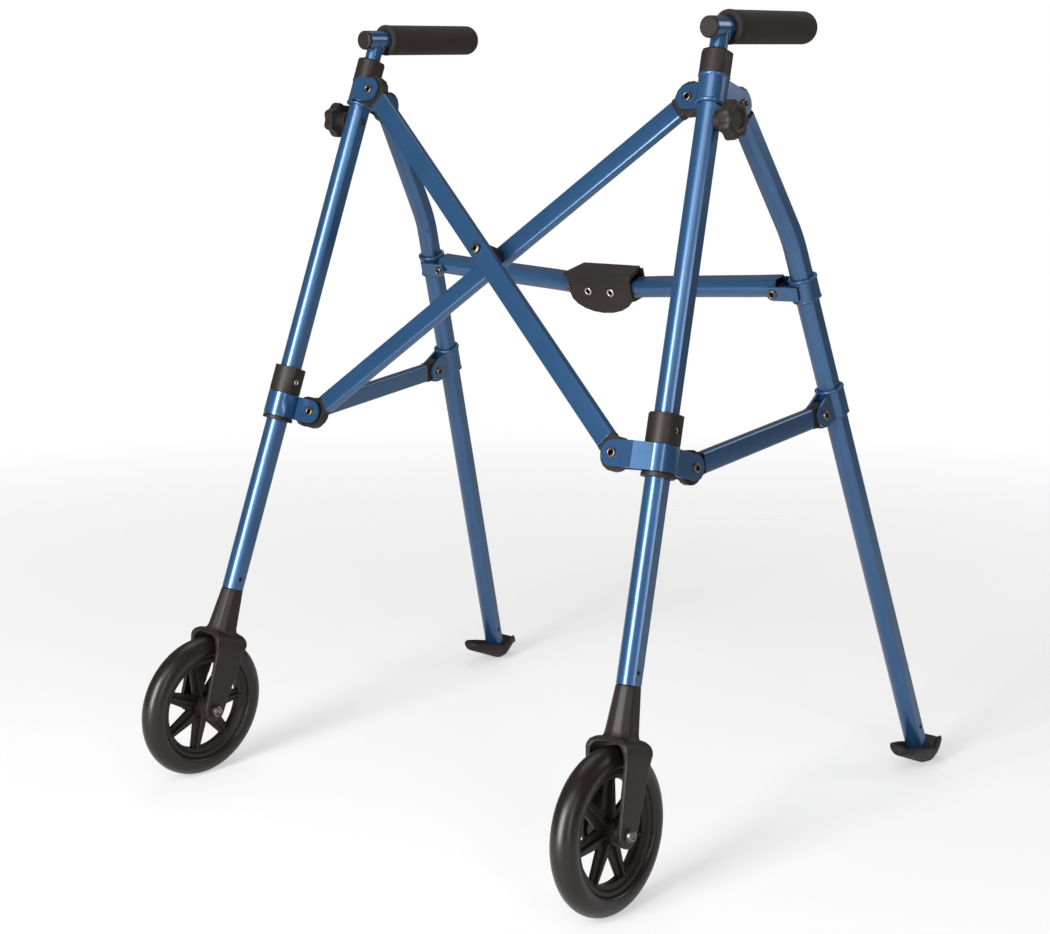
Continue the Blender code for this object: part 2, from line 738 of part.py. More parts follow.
    def slider_liner(self, side, tag, parent):
        """Plastic liner inside the slider, with a flange below it."""
        low = -SLIDER_HEIGHT / 2.0
        high = SLIDER_HEIGHT / 2.0
        inner = (LEG_FLAT + SLIDE_GAP, LEG_ROUND + SLIDE_GAP)
        outer = (inner[0] + LINER_WALL, inner[1] + LINER_WALL)
        flange = (outer[0] + PLATE, outer[1] + PLATE)
        seat = low - GAP
        bm = loft([at_height(tube_outline(*outer), seat), at_height(tube_outline(*outer), high),
                   at_height(tube_outline(*inner), high),
                   at_height(tube_outline(*inner), seat - LINER_FLANGE),
                   at_height(tube_outline(*flange), seat - LINER_FLANGE),
                   at_height(tube_outline(*flange), seat)], closed_ends=False)
        frame = shifted(self.leg, z=-self.pivot_drop)
        self.add(tag + "_slider_liner", bm, frame, side, "black", parent)

    # Handles

    def handle_post(self, side, tag, parent):
        """Welded T of the stem in the leg and the tube that carries the grip."""
        axis = self.handle_axis()
        direction = axis.to_3x3() @ Vector((0.0, 0.0, 1.0))
        top = HANDLE_ABOVE_HUB
        start = Vector((0.0, 0.0, top)) - direction * HANDLE_FRONT
        end = Vector((0.0, 0.0, top)) + direction * HANDLE_REAR
        stem = rod(STEM_RADIUS, (0.0, 0.0, -STEM_BELOW_HUB), (0.0, 0.0, top), ROUND_STEPS)
        tube = rod(HANDLE_RADIUS, start, end, ROUND_STEPS)
        body = join(stem, tube)
        past = direction * CUT_PAST
        bore = rod(STEM_RADIUS - STEM_WALL, (0.0, 0.0, -STEM_BELOW_HUB - CUT_PAST), (0.0, 0.0, top),
                   ROUND_STEPS)
        passage = rod(HANDLE_RADIUS - HANDLE_WALL, start - past, end + past, ROUND_STEPS)
        tools = [bore, passage]
        for i in range(STEM_HOLES):
            z = -KNOB_BELOW_HUB - STEM_HOLE_PITCH * i
            tools.append(rod(STEM_HOLE_RADIUS, (STEM_RADIUS / 3.0, 0.0, z), (STEM_RADIUS + CUT_PAST, 0.0, z), 8))
        self.add(tag + "_handle_post", cut(body, *tools), self.leg, side, "blue", parent)

    def handle_axis(self):
        """Frame in the leg's frame whose z axis is the handle tube, which rises to the rear."""
        world = frame_of(self.leg @ Vector((0.0, 0.0, HANDLE_ABOVE_HUB)), (1.0, 0.0, 0.0),
                         (0.0, 0.0, -1.0))
        return self.leg.inverted() @ world @ Matrix.Rotation(HANDLE_TILT, 4, "X")

    def handle_cap(self, side, tag, parent):
        """Plug in the front end of the handle tube."""
        plug = HANDLE_RADIUS - HANDLE_WALL - GAP
        face = -HANDLE_FRONT - GAP
        profile = [(0.0, face - CAP_THICKNESS), (HANDLE_RADIUS - CAP_EDGE, face - CAP_THICKNESS),
                   (HANDLE_RADIUS, face - CAP_THICKNESS + CAP_EDGE), (HANDLE_RADIUS, face),
                   (plug, face), (plug, face + CAP_DEPTH), (0.0, face + CAP_DEPTH)]
        self.add(tag + "_handle_cap", turned(profile, ROUND_STEPS), self.leg @ self.handle_axis(),
                 side, "black", parent)

    def grip(self, side, tag, parent):
        """Foam grip with a blind bore over the handle tube."""
        bore = HANDLE_RADIUS + GRIP_BORE_CLEARANCE
        start = GRIP_START
        end = GRIP_START + GRIP_LENGTH
        nose = GRIP_RADIUS * GRIP_NOSE_SHARE
        profile = [(bore, start), (GRIP_RADIUS - GRIP_EDGE, start), (GRIP_RADIUS, start + GRIP_EDGE)]
        steps = 4
        for i in range(steps + 1):
            angle = math.pi / 2.0 * i / steps
            profile.append((GRIP_RADIUS - nose * (1.0 - math.cos(angle)),
                            end - nose * (1.0 - math.sin(angle))))
        profile += [(0.0, end), (0.0, HANDLE_REAR + GAP), (bore, HANDLE_REAR + GAP)]
        self.add(tag + "_grip", turned(profile, ROUND_STEPS), self.leg @ self.handle_axis(), side,
                 "foam", parent)

    def star_knob(self, side, tag, parent):
        """Lobed clamp knob with its boss and screw, on the outer face of the leg."""
        seat = LEG_FLAT + GAP
        steps = KNOB_LOBES * 4
        outline = []
        for i in range(steps):
            angle = 2.0 * math.pi * i / steps
            radius = KNOB_RADIUS - KNOB_VALLEY * (1.0 - math.cos(KNOB_LOBES * angle)) / 2.0
            outline.append((radius, angle))

        def ring(scale, height, shrink=0.0):
            return [Vector(((r * scale - shrink) * math.cos(a), (r * scale - shrink) * math.sin(a),
                            height)) for r, a in outline]

        boss = KNOB_BOSS_RADIUS
        low = seat + KNOB_BOSS_LENGTH
        high = low + KNOB_THICKNESS
        circle = [Vector((boss * math.cos(a), boss * math.sin(a), 0.0)) for _, a in outline]
        loops = [[v + Vector((0.0, 0.0, seat)) for v in circle],
                 [v + Vector((0.0, 0.0, low)) for v in circle],
                 ring(1.0, low), ring(1.0, high - KNOB_TOP_EDGE),
                 ring(1.0, high - KNOB_TOP_EDGE / 4.0, KNOB_EDGE), ring(KNOB_TOP_SHARE, high)]
        screw = rod(KNOB_SCREW_RADIUS, (0.0, 0.0, STEM_RADIUS + SLIDE_GAP), (0.0, 0.0, seat + KNOB_SCREW_INSIDE))
        self.add(tag + "_star_knob", join(loft(loops), screw), self.knob_frame(), side, "black", parent)

    def knob_frame(self):
        """Frame on the knob's axis with z pointing outwards."""
        turn = self.leg.to_3x3()
        point = self.leg @ Vector((0.0, 0.0, -KNOB_BELOW_HUB))
        return frame_of(point, turn @ Vector((0.0, 1.0, 0.0)), turn @ Vector((0.0, 0.0, 1.0)))

    # Fork and wheel

    def fork(self, side, tag, parent):
        """Moulded fork: plug in the leg, tapered neck, arched crown and two blades."""
        axle = -HUB_TO_AXLE
        crown_low = axle + WHEEL_RADIUS + WHEEL_TO_CROWN
        crown_high = crown_low + CROWN_THICKNESS
        outside = FORK_INSIDE + BLADE
        seat = -HUB_TO_FORK - GAP
        plug = tube_outline(LEG_FLAT - LEG_WALL - GAP, LEG_ROUND - LEG_WALL - GAP)
        collar = tube_outline(LEG_FLAT, LEG_ROUND)
        flare = tube_outline(LEG_FLAT + NECK_FLARE_SIDE, LEG_ROUND + NECK_FLARE_FRONT)
        foot = tube_outline(LEG_FLAT + NECK_FOOT_SIDE, LEG_ROUND + NECK_FOOT_FRONT)
        neck = loft([at_height(foot, crown_high - NECK_FLARE_HEIGHT),
                     at_height(flare, crown_high + NECK_FLARE_HEIGHT),
                     at_height(collar, seat), at_height(plug, seat), at_height(plug, seat + NECK_PLUG)])
        shoulder = SHOULDER_RADIUS
        arch = []
        steps = 4
        for i in range(steps + 1):
            angle = math.pi / 2.0 * i / steps
            arch.append((outside - shoulder * (1.0 - math.cos(angle)),
                         crown_high - shoulder * (1.0 - math.sin(angle))))
        arch += [(-x, z) for x, z in reversed(arch)]
        arch = [(outside, axle)] + arch + [(-outside, axle)]
        inner = []
        bend = ARCH_RADIUS
        for i in range(steps + 1):
            angle = math.pi / 2.0 * i / steps
            inner.append((FORK_INSIDE - bend * (1.0 - math.cos(angle)),
                          crown_low - bend * (1.0 - math.sin(angle))))
        inner += [(-x, z) for x, z in reversed(inner)]
        inner = [(FORK_INSIDE, axle)] + inner + [(-FORK_INSIDE, axle)]
        hoop = self.hoop(arch, inner, CROWN_DEPTH)
        taper = self.blade_taper(crown_high, axle)
        body = combine(hoop, [("INTERSECT", taper), ("UNION", neck)])
        holes = rod(AXLE_RADIUS + GAP, (-outside - CUT_PAST, 0.0, axle), (outside + CUT_PAST, 0.0, axle), 16)
        self.add(tag + "_fork", cut(body, holes), self.leg, side, "black", parent)

    def hoop(self, outer, inner, depth):
        """Arch of constant depth between an outer and an inner line, open at the bottom."""
        bm = bmesh.new()
        rows = []
        extend = 2.0 * BLADE_END_RADIUS + CUT_PAST
        lowered = []
        for line in (outer, inner):
            points = list(line)
            points[0] = (points[0][0], points[0][1] - extend)
            points[-1] = (points[-1][0], points[-1][1] - extend)
            lowered.append(points)
        for y in (-depth / 2.0, depth / 2.0):
            rows.append([[bm.verts.new((x, y, z)) for x, z in line] for line in lowered])
        count = len(outer)
        for i in range(count - 1):
            j = i + 1
            bm.faces.new((rows[0][0][i], rows[0][0][j], rows[0][1][j], rows[0][1][i]))
            bm.faces.new((rows[1][0][i], rows[1][1][i], rows[1][1][j], rows[1][0][j]))
            bm.faces.new((rows[0][0][i], rows[1][0][i], rows[1][0][j], rows[0][0][j]))
            bm.faces.new((rows[0][1][i], rows[0][1][j], rows[1][1][j], rows[1][1][i]))
        for i in (0, count - 1):
            bm.faces.new((rows[0][0][i], rows[0][1][i], rows[1][1][i], rows[1][0][i]))
        return bm

    def blade_taper(self, high, axle):
        """Side outline of the fork: full depth at the crown, round end at the axle."""
        half = CROWN_DEPTH / 2.0
        crown = CROWN_ROUND
        outline = []
        steps = 8
        for i in range(steps + 1):
            angle = math.pi + math.pi * i / steps
            outline.append((BLADE_END_RADIUS * math.cos(angle), axle + BLADE_END_RADIUS * math.sin(angle)))
        waist = high - CROWN_THICKNESS - WAIST_DROP
        outline += [(half - WAIST_STEP, waist), (half, waist + WAIST_RISE), (half, high - crown * 0.5)]
        outline += [(half - crown * 0.3, high - crown * 0.1), (half - crown, high + crown * 0.2)]
        outline += [(-half + crown, high + crown * 0.2), (-half + crown * 0.3, high - crown * 0.1)]
        outline += [(-half, high - crown * 0.5), (-half, waist + WAIST_RISE), (-half + WAIST_STEP, waist)]
        width = FORK_INSIDE + BLADE + CUT_PAST
        return plate_across_x(outline, -width, width)

    def wheel_frame(self):
        """Frame at the middle of the wheel: z along the axle, outwards, and x level, backwards."""
        point = self.leg @ Vector((0.0, 0.0, -HUB_TO_AXLE))
        axle = self.leg.to_3x3() @ Vector((1.0, 0.0, 0.0))
        level = Vector((0.0, 0.0, 1.0)).cross(axle)
        return frame_of(point, level, axle.cross(level))

    def wheel(self, side, tag, parent):
        """One-piece hub, ribbed spokes and rim."""
        rim_out = WHEEL_RADIUS - TYRE_DEPTH - GAP
        rim_in = rim_out - RIM_DEPTH
        hub_half = FORK_INSIDE - WHEEL_SIDE_GAP
        bore = AXLE_RADIUS + GAP
        half = RIM_WIDTH / 2.0
        rim = turned([(rim_in + RIM_BEVEL, -half), (rim_out, -half), (rim_out, half),
                      (rim_in + RIM_BEVEL, half), (rim_in, 0.0)], WHEEL_STEPS)
        inner = WHEEL_HUB_RADIUS - WHEEL_HUB_STEP
        bevel = hub_half - WHEEL_HUB_BEVEL
        hub = turned([(bore, -hub_half), (inner, -hub_half), (WHEEL_HUB_RADIUS, -bevel),
                      (WHEEL_HUB_RADIUS, bevel), (inner, hub_half), (bore, hub_half)], ROUND_STEPS)
        parts = [rim]
        for i in range(SPOKES):
            angle = 2.0 * math.pi * i / SPOKES - math.pi / 2.0 - SPOKE_START[side]
            turn = Matrix.Rotation(angle, 4, "Z")
            parts.append(moved(self.spoke(rim_in + RIM_DEPTH * 0.5), turn))
        self.add(tag + "_wheel", join(hub, *parts), self.wheel_frame(), side, "black", parent)

    def spoke(self, length):
        """Tapered web with a rib on each face, along +X."""
        root = WHEEL_HUB_RADIUS - SPOKE_IN_HUB
        wide = SPOKE_ROOT_WIDTH / 2.0
        narrow = SPOKE_TIP_WIDTH / 2.0
        rib = narrow * 0.55
        section = [(-1.0, -SPOKE_WEB / 2.0), (-rib, -SPOKE_WEB / 2.0), (0.0, -SPOKE_RIB / 2.0),
                   (rib, -SPOKE_WEB / 2.0), (1.0, -SPOKE_WEB / 2.0)]
        section += [(-y, -z) for y, z in section]
        loops = []
        for x, half in ((root, wide), (length, narrow)):
            loops.append([Vector((x, half * y if abs(y) == 1.0 else y, z)) for y, z in section])
        return loft(loops)

    def tyre(self, side, tag, parent):
        """Tyre with a round tread, seated on the rim."""
        seat = WHEEL_RADIUS - TYRE_DEPTH
        half = TYRE_WIDTH / 2.0
        profile = [(seat, -RIM_WIDTH / 2.0)]
        steps = 6
        flat = TYRE_DEPTH - half
        for i in range(steps + 1):
            angle = -math.pi / 2.0 + math.pi * i / steps
            profile.append((WHEEL_RADIUS - half + half * math.cos(angle), half * math.sin(angle)))
        profile.append((seat, RIM_WIDTH / 2.0))
        self.add(tag + "_tyre", turned(profile, WHEEL_STEPS), self.wheel_frame(), side, "rubber", parent)

    def axle_bolt(self, side, tag, parent):
        """Axle bolt through both blades, with its head outside and a nut inside."""
        outside = FORK_INSIDE + BLADE + GAP
        head = BOLT_HEAD_RADIUS
        end = outside + BOLT_NUT_HEIGHT
        profile = [(0.0, -outside - BOLT_HEAD_HEIGHT), (head, -outside - BOLT_HEAD_HEIGHT), (head, -outside),
                   (AXLE_RADIUS, -outside), (AXLE_RADIUS, outside), (head, outside),
                   (head, outside + BOLT_NUT_EDGE), (head * 0.55, end), (0.0, end)]
        self.add(tag + "_axle_bolt", turned(profile, 12), self.wheel_frame(), side, "steel", parent)

    # Rear legs

    def rear_path(self):
        """Frames along the rear leg from the top of the tube to its foot."""
        turn_angle = REAR_TOP_ANGLE - REAR_LOW_ANGLE
        tangent = REAR_BEND_RADIUS * math.tan(turn_angle / 2.0)
        side_out = self.side.to_3x3() @ Vector((1.0, 0.0, 0.0))
        stations = []
        start = self.side_pivot + self.top_dir * LEG_START
        stations.append((start, self.top_dir))
        arc_start = self.bend - self.top_dir * tangent
        inward = side_out.cross(self.top_dir).normalized()
        if inward.dot(self.low_dir) < 0.0:
            inward = -inward
        centre = arc_start + inward * REAR_BEND_RADIUS
        steps = 5
        for i in range(steps + 1):
            angle = turn_angle * i / steps
            radial = -inward * math.cos(angle) + self.top_dir * math.sin(angle)
            direction = self.top_dir * math.cos(angle) + inward * math.sin(angle)
            stations.append((centre + radial * REAR_BEND_RADIUS, direction))
        end = self.bend + self.low_dir * REAR_LOW_LENGTH
        stations.append((end, self.low_dir))
        return side_out, stations

    def rear_leg(self, side, tag, parent):
        """Bent rear tube with the same outline as the front leg."""
        side_out, stations = self.rear_path()
        loops = []
        outlines = (tube_outline(LEG_FLAT, LEG_ROUND),
                    tube_outline(LEG_FLAT - LEG_WALL, LEG_ROUND - LEG_WALL))
        frame = self.rear_low
        back_to_frame = frame.inverted()
        for outline, order in zip(outlines, (stations, list(reversed(stations)))):
            for point, direction in order:
                across = -direction.cross(side_out)
                loops.append([back_to_frame @ (point + side_out * x + across * y) for x, y in outline])
        self.add(tag + "_rear_leg", loft(loops, closed_ends=False), frame, side, "blue", parent)

    def rear_leg_plug(self, side, tag, parent):
        """Plastic plug in the top of the rear leg, with the tongue of the hub pivot."""
        start = LEG_START - GAP
        half = BAR_THICKNESS / 2.0 - GAP
        tongue = plate_across_x(circle_outline(TONGUE_RADIUS), -half, half)
        cap = prism(tube_outline(LEG_FLAT, LEG_ROUND), -start, -EAR_RADIUS - TONGUE_CLEARANCE)
        plug = prism(tube_outline(LEG_FLAT - LEG_WALL - GAP, LEG_ROUND - LEG_WALL - GAP),
                     -start - REAR_PLUG, -start + LAP)
        body = join(tongue, cap, plug)
        hole = rod(PIN_RADIUS + PIN_CLEARANCE, (-BAR_THICKNESS, 0.0, 0.0), (BAR_THICKNESS, 0.0, 0.0))
        self.add(tag + "_rear_leg_plug", cut(body, hole), self.rear_top, side, "black", parent)

    def cross_ring(self, side, tag, parent):
        """Ring on the rear leg with the two ears of the folding cross bar."""
        clearance = GAP
        low = -RING_DROP - RING_HEIGHT / 2.0
        high = -RING_DROP + RING_HEIGHT / 2.0
        body = self.sleeve(clearance, RING_WALL, low, high)
        to_ring = self.rear_low.inverted() @ self.ring_frame()
        parts = []
        gap = LEG_ROUND + GAP + (HALF_BAR_PAST_PIN + RING_EAR_RADIUS) * math.sin(RING_TOE)
        reach = RING_EAR_LENGTH
        outline = [(-x, z) for x, z in reversed(ear_outline(0.0, RING_EAR_RADIUS, -reach, RING_EAR_RADIUS))]
        for sign in (1.0, -1.0):
            plate = plate_across_y(outline, sign * gap, sign * (gap + PLATE))
            parts.append(moved(plate, to_ring))
            head = rod(PIN_HEAD_RADIUS, (0.0, sign * (gap + PLATE * 0.5), 0.0),
                       (0.0, sign * (gap + PLATE + PIN_HEAD_HEIGHT), 0.0))
            parts.append(moved(head, to_ring))
        parts.append(moved(rod(PIN_RADIUS, (0.0, -gap - PLATE, 0.0), (0.0, gap + PLATE, 0.0)), to_ring))
        body = join(body, *parts)
        body = cut(body, self.sleeve_cutter(clearance, low, high))
        self.add(tag + "_cross_ring", body, self.rear_low, side, "blue", parent)

    def ring_frame(self):
        """Frame on the ring's pin: y along the pin, x away from the mirror plane."""
        frame = self.cross.copy()
        frame.translation = self.ring_pin
        return frame @ Matrix.Rotation(RING_TOE, 4, "Z")

    def brace_bracket(self, side, tag, parent):
        """Bracket on the rear leg with the two ears of the side brace."""
        low = -BRACKET_HEIGHT / 2.0
        high = BRACKET_HEIGHT / 2.0
        body = self.sleeve(GAP, PLATE, low, high)
        turn = Matrix.Rotation(math.pi, 4, "Z")
        parts = []
        for piece in self.side_clevis(BRACKET_REACH, PLATE, low, high, True, -BRACKET_PIN_DROP):
            parts.append(moved(piece, turn))
        body = join(body, *parts)
        body = cut(body, self.sleeve_cutter(GAP, low, high))
        frame = shifted(self.rear_low, z=-BRACKET_DROP)
        self.add(tag + "_brace_bracket", body, frame, side, "blue", parent)

    def glide_section(self, y):
        """Half width, underside and rim height of the glide at a distance behind the leg's foot."""
        half = GLIDE_WIDTH / 2.0
        if y < 0.0:
            share = -y / GLIDE_FRONT
            width = half * math.sqrt(1.0 - 0.9 * share ** 4)
            under = max(0.0, -y - GLIDE_SOLE) * math.tan(GLIDE_FRONT_RAMP)
            rim = under + GLIDE_TOE_BASE + (GLIDE_MIDDLE_RIM - GLIDE_TOE_BASE) * (1.0 - share)
            rim -= (GLIDE_TOE_BASE - GLIDE_TOE_HEIGHT) * share ** 6
        else:
            share = y / GLIDE_REAR
            width = half * math.sqrt(1.0 - 0.93 * share ** 2)
            under = max(0.0, y - GLIDE_SOLE) * math.tan(GLIDE_REAR_RAMP)
            if y < GLIDE_BACK:
                rim = GLIDE_MIDDLE_RIM + (GLIDE_BACK_RIM - GLIDE_MIDDLE_RIM) * y / GLIDE_BACK
            else:
                fall = (y - GLIDE_BACK) / (GLIDE_REAR - GLIDE_BACK)
                rim = GLIDE_BACK_RIM + (GLIDE_HEEL_RIM - GLIDE_BACK_RIM) * fall ** 2
        return width, under, rim

    def glide(self, side, tag, parent):
        """Boat-shaped ski glide with a dished top and the plug that fills the leg's end."""
        foot = Matrix.Translation(self.foot)
        places = [-GLIDE_FRONT * share for share in (1.0, 0.93, 0.75, 0.4)]
        places += [-GLIDE_SOLE, GLIDE_SOLE]
        places += [GLIDE_BACK * share for share in (0.55, 1.0)]
        places += [GLIDE_BACK + (GLIDE_REAR - GLIDE_BACK) * share for share in (0.6, 1.0)]
        loops = []
        for y in places:
            width, under, rim = self.glide_section(y)
            tall = rim - under
            dished = rim - GLIDE_DISH * (1.0 - abs(y / (GLIDE_REAR if y > 0.0 else GLIDE_FRONT)) ** 3)
            right = [(width * 0.25, under), (width * 0.72, under + tall * 0.22), (width, under + tall * 0.6),
                     (width, rim - tall * 0.1), (width * 0.9, rim), (width * 0.65, dished)]
            left = [(-x, z) for x, z in reversed(right)]
            loops.append([Vector((x, y, z)) for x, z in right + left])
        sole = loft(loops)
        to_foot = foot.inverted() @ self.rear_low
        end = -REAR_LOW_LENGTH
        outer = tube_outline(LEG_FLAT + GLIDE_SOCKET, LEG_ROUND + GLIDE_SOCKET)
        boss = prism(outer, end - GLIDE_SOCKET, end + GLIDE_SOCKET_DEPTH)
        plug = prism(tube_outline(LEG_FLAT - LEG_WALL - GAP, LEG_ROUND - LEG_WALL - GAP),
                     end - GAP - LAP, end + GLIDE_PLUG)
        socket = prism(tube_outline(LEG_FLAT + GAP, LEG_ROUND + GAP), end - GAP, end + GLIDE_PLUG + CUT_PAST)
        body = combine(sole, [("UNION", moved(boss, to_foot)), ("DIFFERENCE", moved(socket, to_foot)),
                              ("UNION", moved(plug, to_foot))])
        self.add(tag + "_glide", body, foot, side, "black", parent)

    # Side braces

    def brace_line(self):
        """Frame at the slider's side pivot whose x axis runs to the rear bracket's pin."""
        start = self.side @ Vector((0.0, SIDE_PIVOT_REACH + SLIDER_REACH_STEP, -self.pivot_drop))
        end = self.rear_low @ Vector((0.0, -BRACKET_REACH, -BRACKET_DROP - BRACKET_PIN_DROP))
        side_out = self.side.to_3x3() @ Vector((1.0, 0.0, 0.0))
        frame = frame_of(start, end - start, side_out)
        return frame, (end - start).length

    def side_brace(self, side, tag, parent):
        """Box tube between the slider and the rear leg, with a plastic cap at each end."""
        frame, length = self.brace_line()
        self.box_bar(tag + "_side_brace", frame, length, side, parent)
        self.bar_cap(tag + "_brace_front_cap", frame, TONGUE_RADIUS, side, parent, LOW_CAP_CLEARANCE)
        far = shifted(frame, x=length) @ Matrix.Rotation(math.pi, 4, "Z")
        swing = BRACKET_REACH - LEG_ROUND - GAP - PLATE - TONGUE_CLEARANCE
        self.bar_cap(tag + "_brace_rear_cap", far, swing, side, parent)

    def box_bar(self, name, frame, length, side, parent, hole_at=None, hole_radius=0.0):
        """Rounded box tube along x, shortened at both ends to leave room for the caps."""
        outer = rounded_box_outline(BAR_THICKNESS, BAR_HEIGHT, BAR_CORNER)
        inner = rounded_box_outline(BAR_THICKNESS - 2.0 * BAR_WALL, BAR_HEIGHT - 2.0 * BAR_WALL,
                                    BAR_CORNER - BAR_WALL)
        bm = moved(hollow_prism(outer, inner, BRACE_CAP, length - BRACE_CAP), LAY_ALONG_X)
        if hole_at is not None:
            reach = BAR_THICKNESS
            bm = cut(bm, rod(hole_radius, (hole_at, -reach, 0.0), (hole_at, reach, 0.0)))
        self.add(name, bm, frame, side, "blue", parent)

    def bar_cap(self, name, frame, radius, side, parent, side_gap=GAP):
        """Plastic end cap: plug in the tube, short block and round tongue on the pivot."""
        half = BAR_THICKNESS / 2.0 - side_gap
        block_end = BRACE_CAP - GAP
        tongue = plate_across_y(circle_outline(radius), -half, half)
        block = plate_across_y([(0.0, -BAR_HEIGHT / 2.0), (block_end, -BAR_HEIGHT / 2.0),
                                (block_end, BAR_HEIGHT / 2.0), (0.0, BAR_HEIGHT / 2.0)], -half, half)
        wall = BAR_WALL + GAP
        outline = rounded_box_outline(BAR_THICKNESS - 2.0 * wall, BAR_HEIGHT - 2.0 * wall,
                                      BAR_CORNER - BAR_WALL)
        plug = moved(prism(outline, block_end - LAP, block_end + CAP_PLUG), LAY_ALONG_X)
        reach = BAR_THICKNESS
        hole = rod(PIN_RADIUS + PIN_CLEARANCE, (0.0, -reach, 0.0), (0.0, reach, 0.0))
        self.add(name, cut(join(tongue, block, plug), hole), frame, side, "black", parent)

    # Crossed bars

    def crossed_bar(self, side, tag, parent):
        """Bar from one hub to the opposite slider, with its end caps."""
        lane = self.lane_y(side, True)
        top = shifted(self.leg, x=-BAR_PIVOT_REACH, y=lane)
        down = Vector((-math.sin(BAR_ANGLE), 0.0, -math.cos(BAR_ANGLE)))
        direction = self.middle.to_3x3() @ down
        frame = frame_of(top.translation, direction, self.middle.to_3x3() @ Vector((0.0, 1.0, 0.0)))
        length = BAR_TOP_LENGTH + BAR_BOTTOM_LENGTH
        hole = MIDDLE_BOLT_RADIUS + GAP
        self.box_bar(tag + "_bar", frame, length, side, parent, BAR_TOP_LENGTH, hole)
        self.bar_cap(tag + "_bar_top_cap", frame, TONGUE_RADIUS, side, parent)
        far = shifted(frame, x=length) @ Matrix.Rotation(math.pi, 4, "Z")
        self.bar_cap(tag + "_bar_low_cap", far, TONGUE_RADIUS, side, parent, LOW_CAP_CLEARANCE)

    def middle_bolt(self, parent):
        """Bolt and spacer on the front bar, and the nut on the rear bar."""
        front = -self.lane - BAR_THICKNESS / 2.0 - GAP
        spacer_front = -SPACER_LENGTH / 2.0 + GAP
        spacer_back = SPACER_LENGTH / 2.0 - GAP
        bolt = join(rod(MIDDLE_BOLT_RADIUS, (0.0, front, 0.0), (0.0, spacer_back - GAP, 0.0)),
                    rod(MIDDLE_HEAD_RADIUS, (0.0, front - MIDDLE_HEAD_HEIGHT, 0.0), (0.0, front, 0.0), 16))
        self.add("middle_bolt", bolt, self.middle, 1, "steel", parent)
        inner = circle_outline(MIDDLE_BOLT_RADIUS + GAP, 16)
        outer = circle_outline(SPACER_RADIUS, 16)
        turn = Matrix.Rotation(-math.pi / 2.0, 4, "X")
        spacer = moved(hollow_prism(outer, inner, spacer_front, spacer_back), turn)
        self.add("middle_spacer", spacer, self.middle, 1, "black", parent)

    def middle_nut(self, parent):
        """Threaded end and nut on the back of the rear bar."""
        back = self.lane + BAR_THICKNESS / 2.0 + GAP
        start = self.lane - BAR_THICKNESS / 2.0 + GAP
        nut = join(rod(MIDDLE_BOLT_RADIUS, (0.0, start, 0.0), (0.0, back + LAP, 0.0)),
                   rod(MIDDLE_NUT_RADIUS, (0.0, back, 0.0), (0.0, back + MIDDLE_NUT_HEIGHT, 0.0), 6))
        self.add("middle_nut", nut, self.middle, 1, "steel", parent)

    # Folding cross bar

    def half_bar_frame(self):
        """Frame at the latch pin: x runs outwards along the half bar, y along the pin."""
        start = self.latch_pin
        end = self.ring_pin
        pin = self.cross.to_3x3() @ Vector((0.0, 1.0, 0.0))
        along = end - start
        along -= pin * along.dot(pin)
        return frame_of(start, along, pin), along.length

    def half_bar_place(self, share, length, sideways):
        """Centre of the half bar's tube at a share of its length, counted from the latch."""
        start = HALF_BAR_INNER - LATCH_PIN_X
        end = length + HALF_BAR_PAST_PIN
        ease = share * share * (3.0 - 2.0 * share)
        lift = HALF_BAR_LIFT_INNER + (HALF_BAR_LIFT_OUTER - HALF_BAR_LIFT_INNER) * share
        return start + (end - start) * share, sideways * ease, lift

    def half_bar(self, side, tag, parent):
        """Bowed tube from the ring's pin to the latch."""
        frame, length = self.half_bar_frame()
        end = frame.inverted() @ self.ring_pin
        outline = tube_outline(HALF_BAR_FLAT, LEG_ROUND)
        inside = tube_outline(HALF_BAR_FLAT - LEG_WALL, LEG_ROUND - LEG_WALL)
        steps = 6
        shares = [i / steps for i in range(steps + 1)]
        loops = []
        for points, order in ((outline, shares), (inside, list(reversed(shares)))):
            for share in order:
                x, y, lift = self.half_bar_place(share, length, end.y)
                loops.append([Vector((x, y + b, lift - a)) for a, b in points])
        for loop in loops:
            loop.reverse()
        turn = frame.inverted() @ self.ring_frame()
        reach = 2.0 * LEG_ROUND
        hole = moved(rod(PIN_RADIUS + PIN_CLEARANCE, (0.0, -reach, 0.0), (0.0, reach, 0.0)), turn)
        body = cut(loft(loops, closed_ends=False), hole)
        self.add(tag + "_half_bar", body, frame, side, "blue", parent)

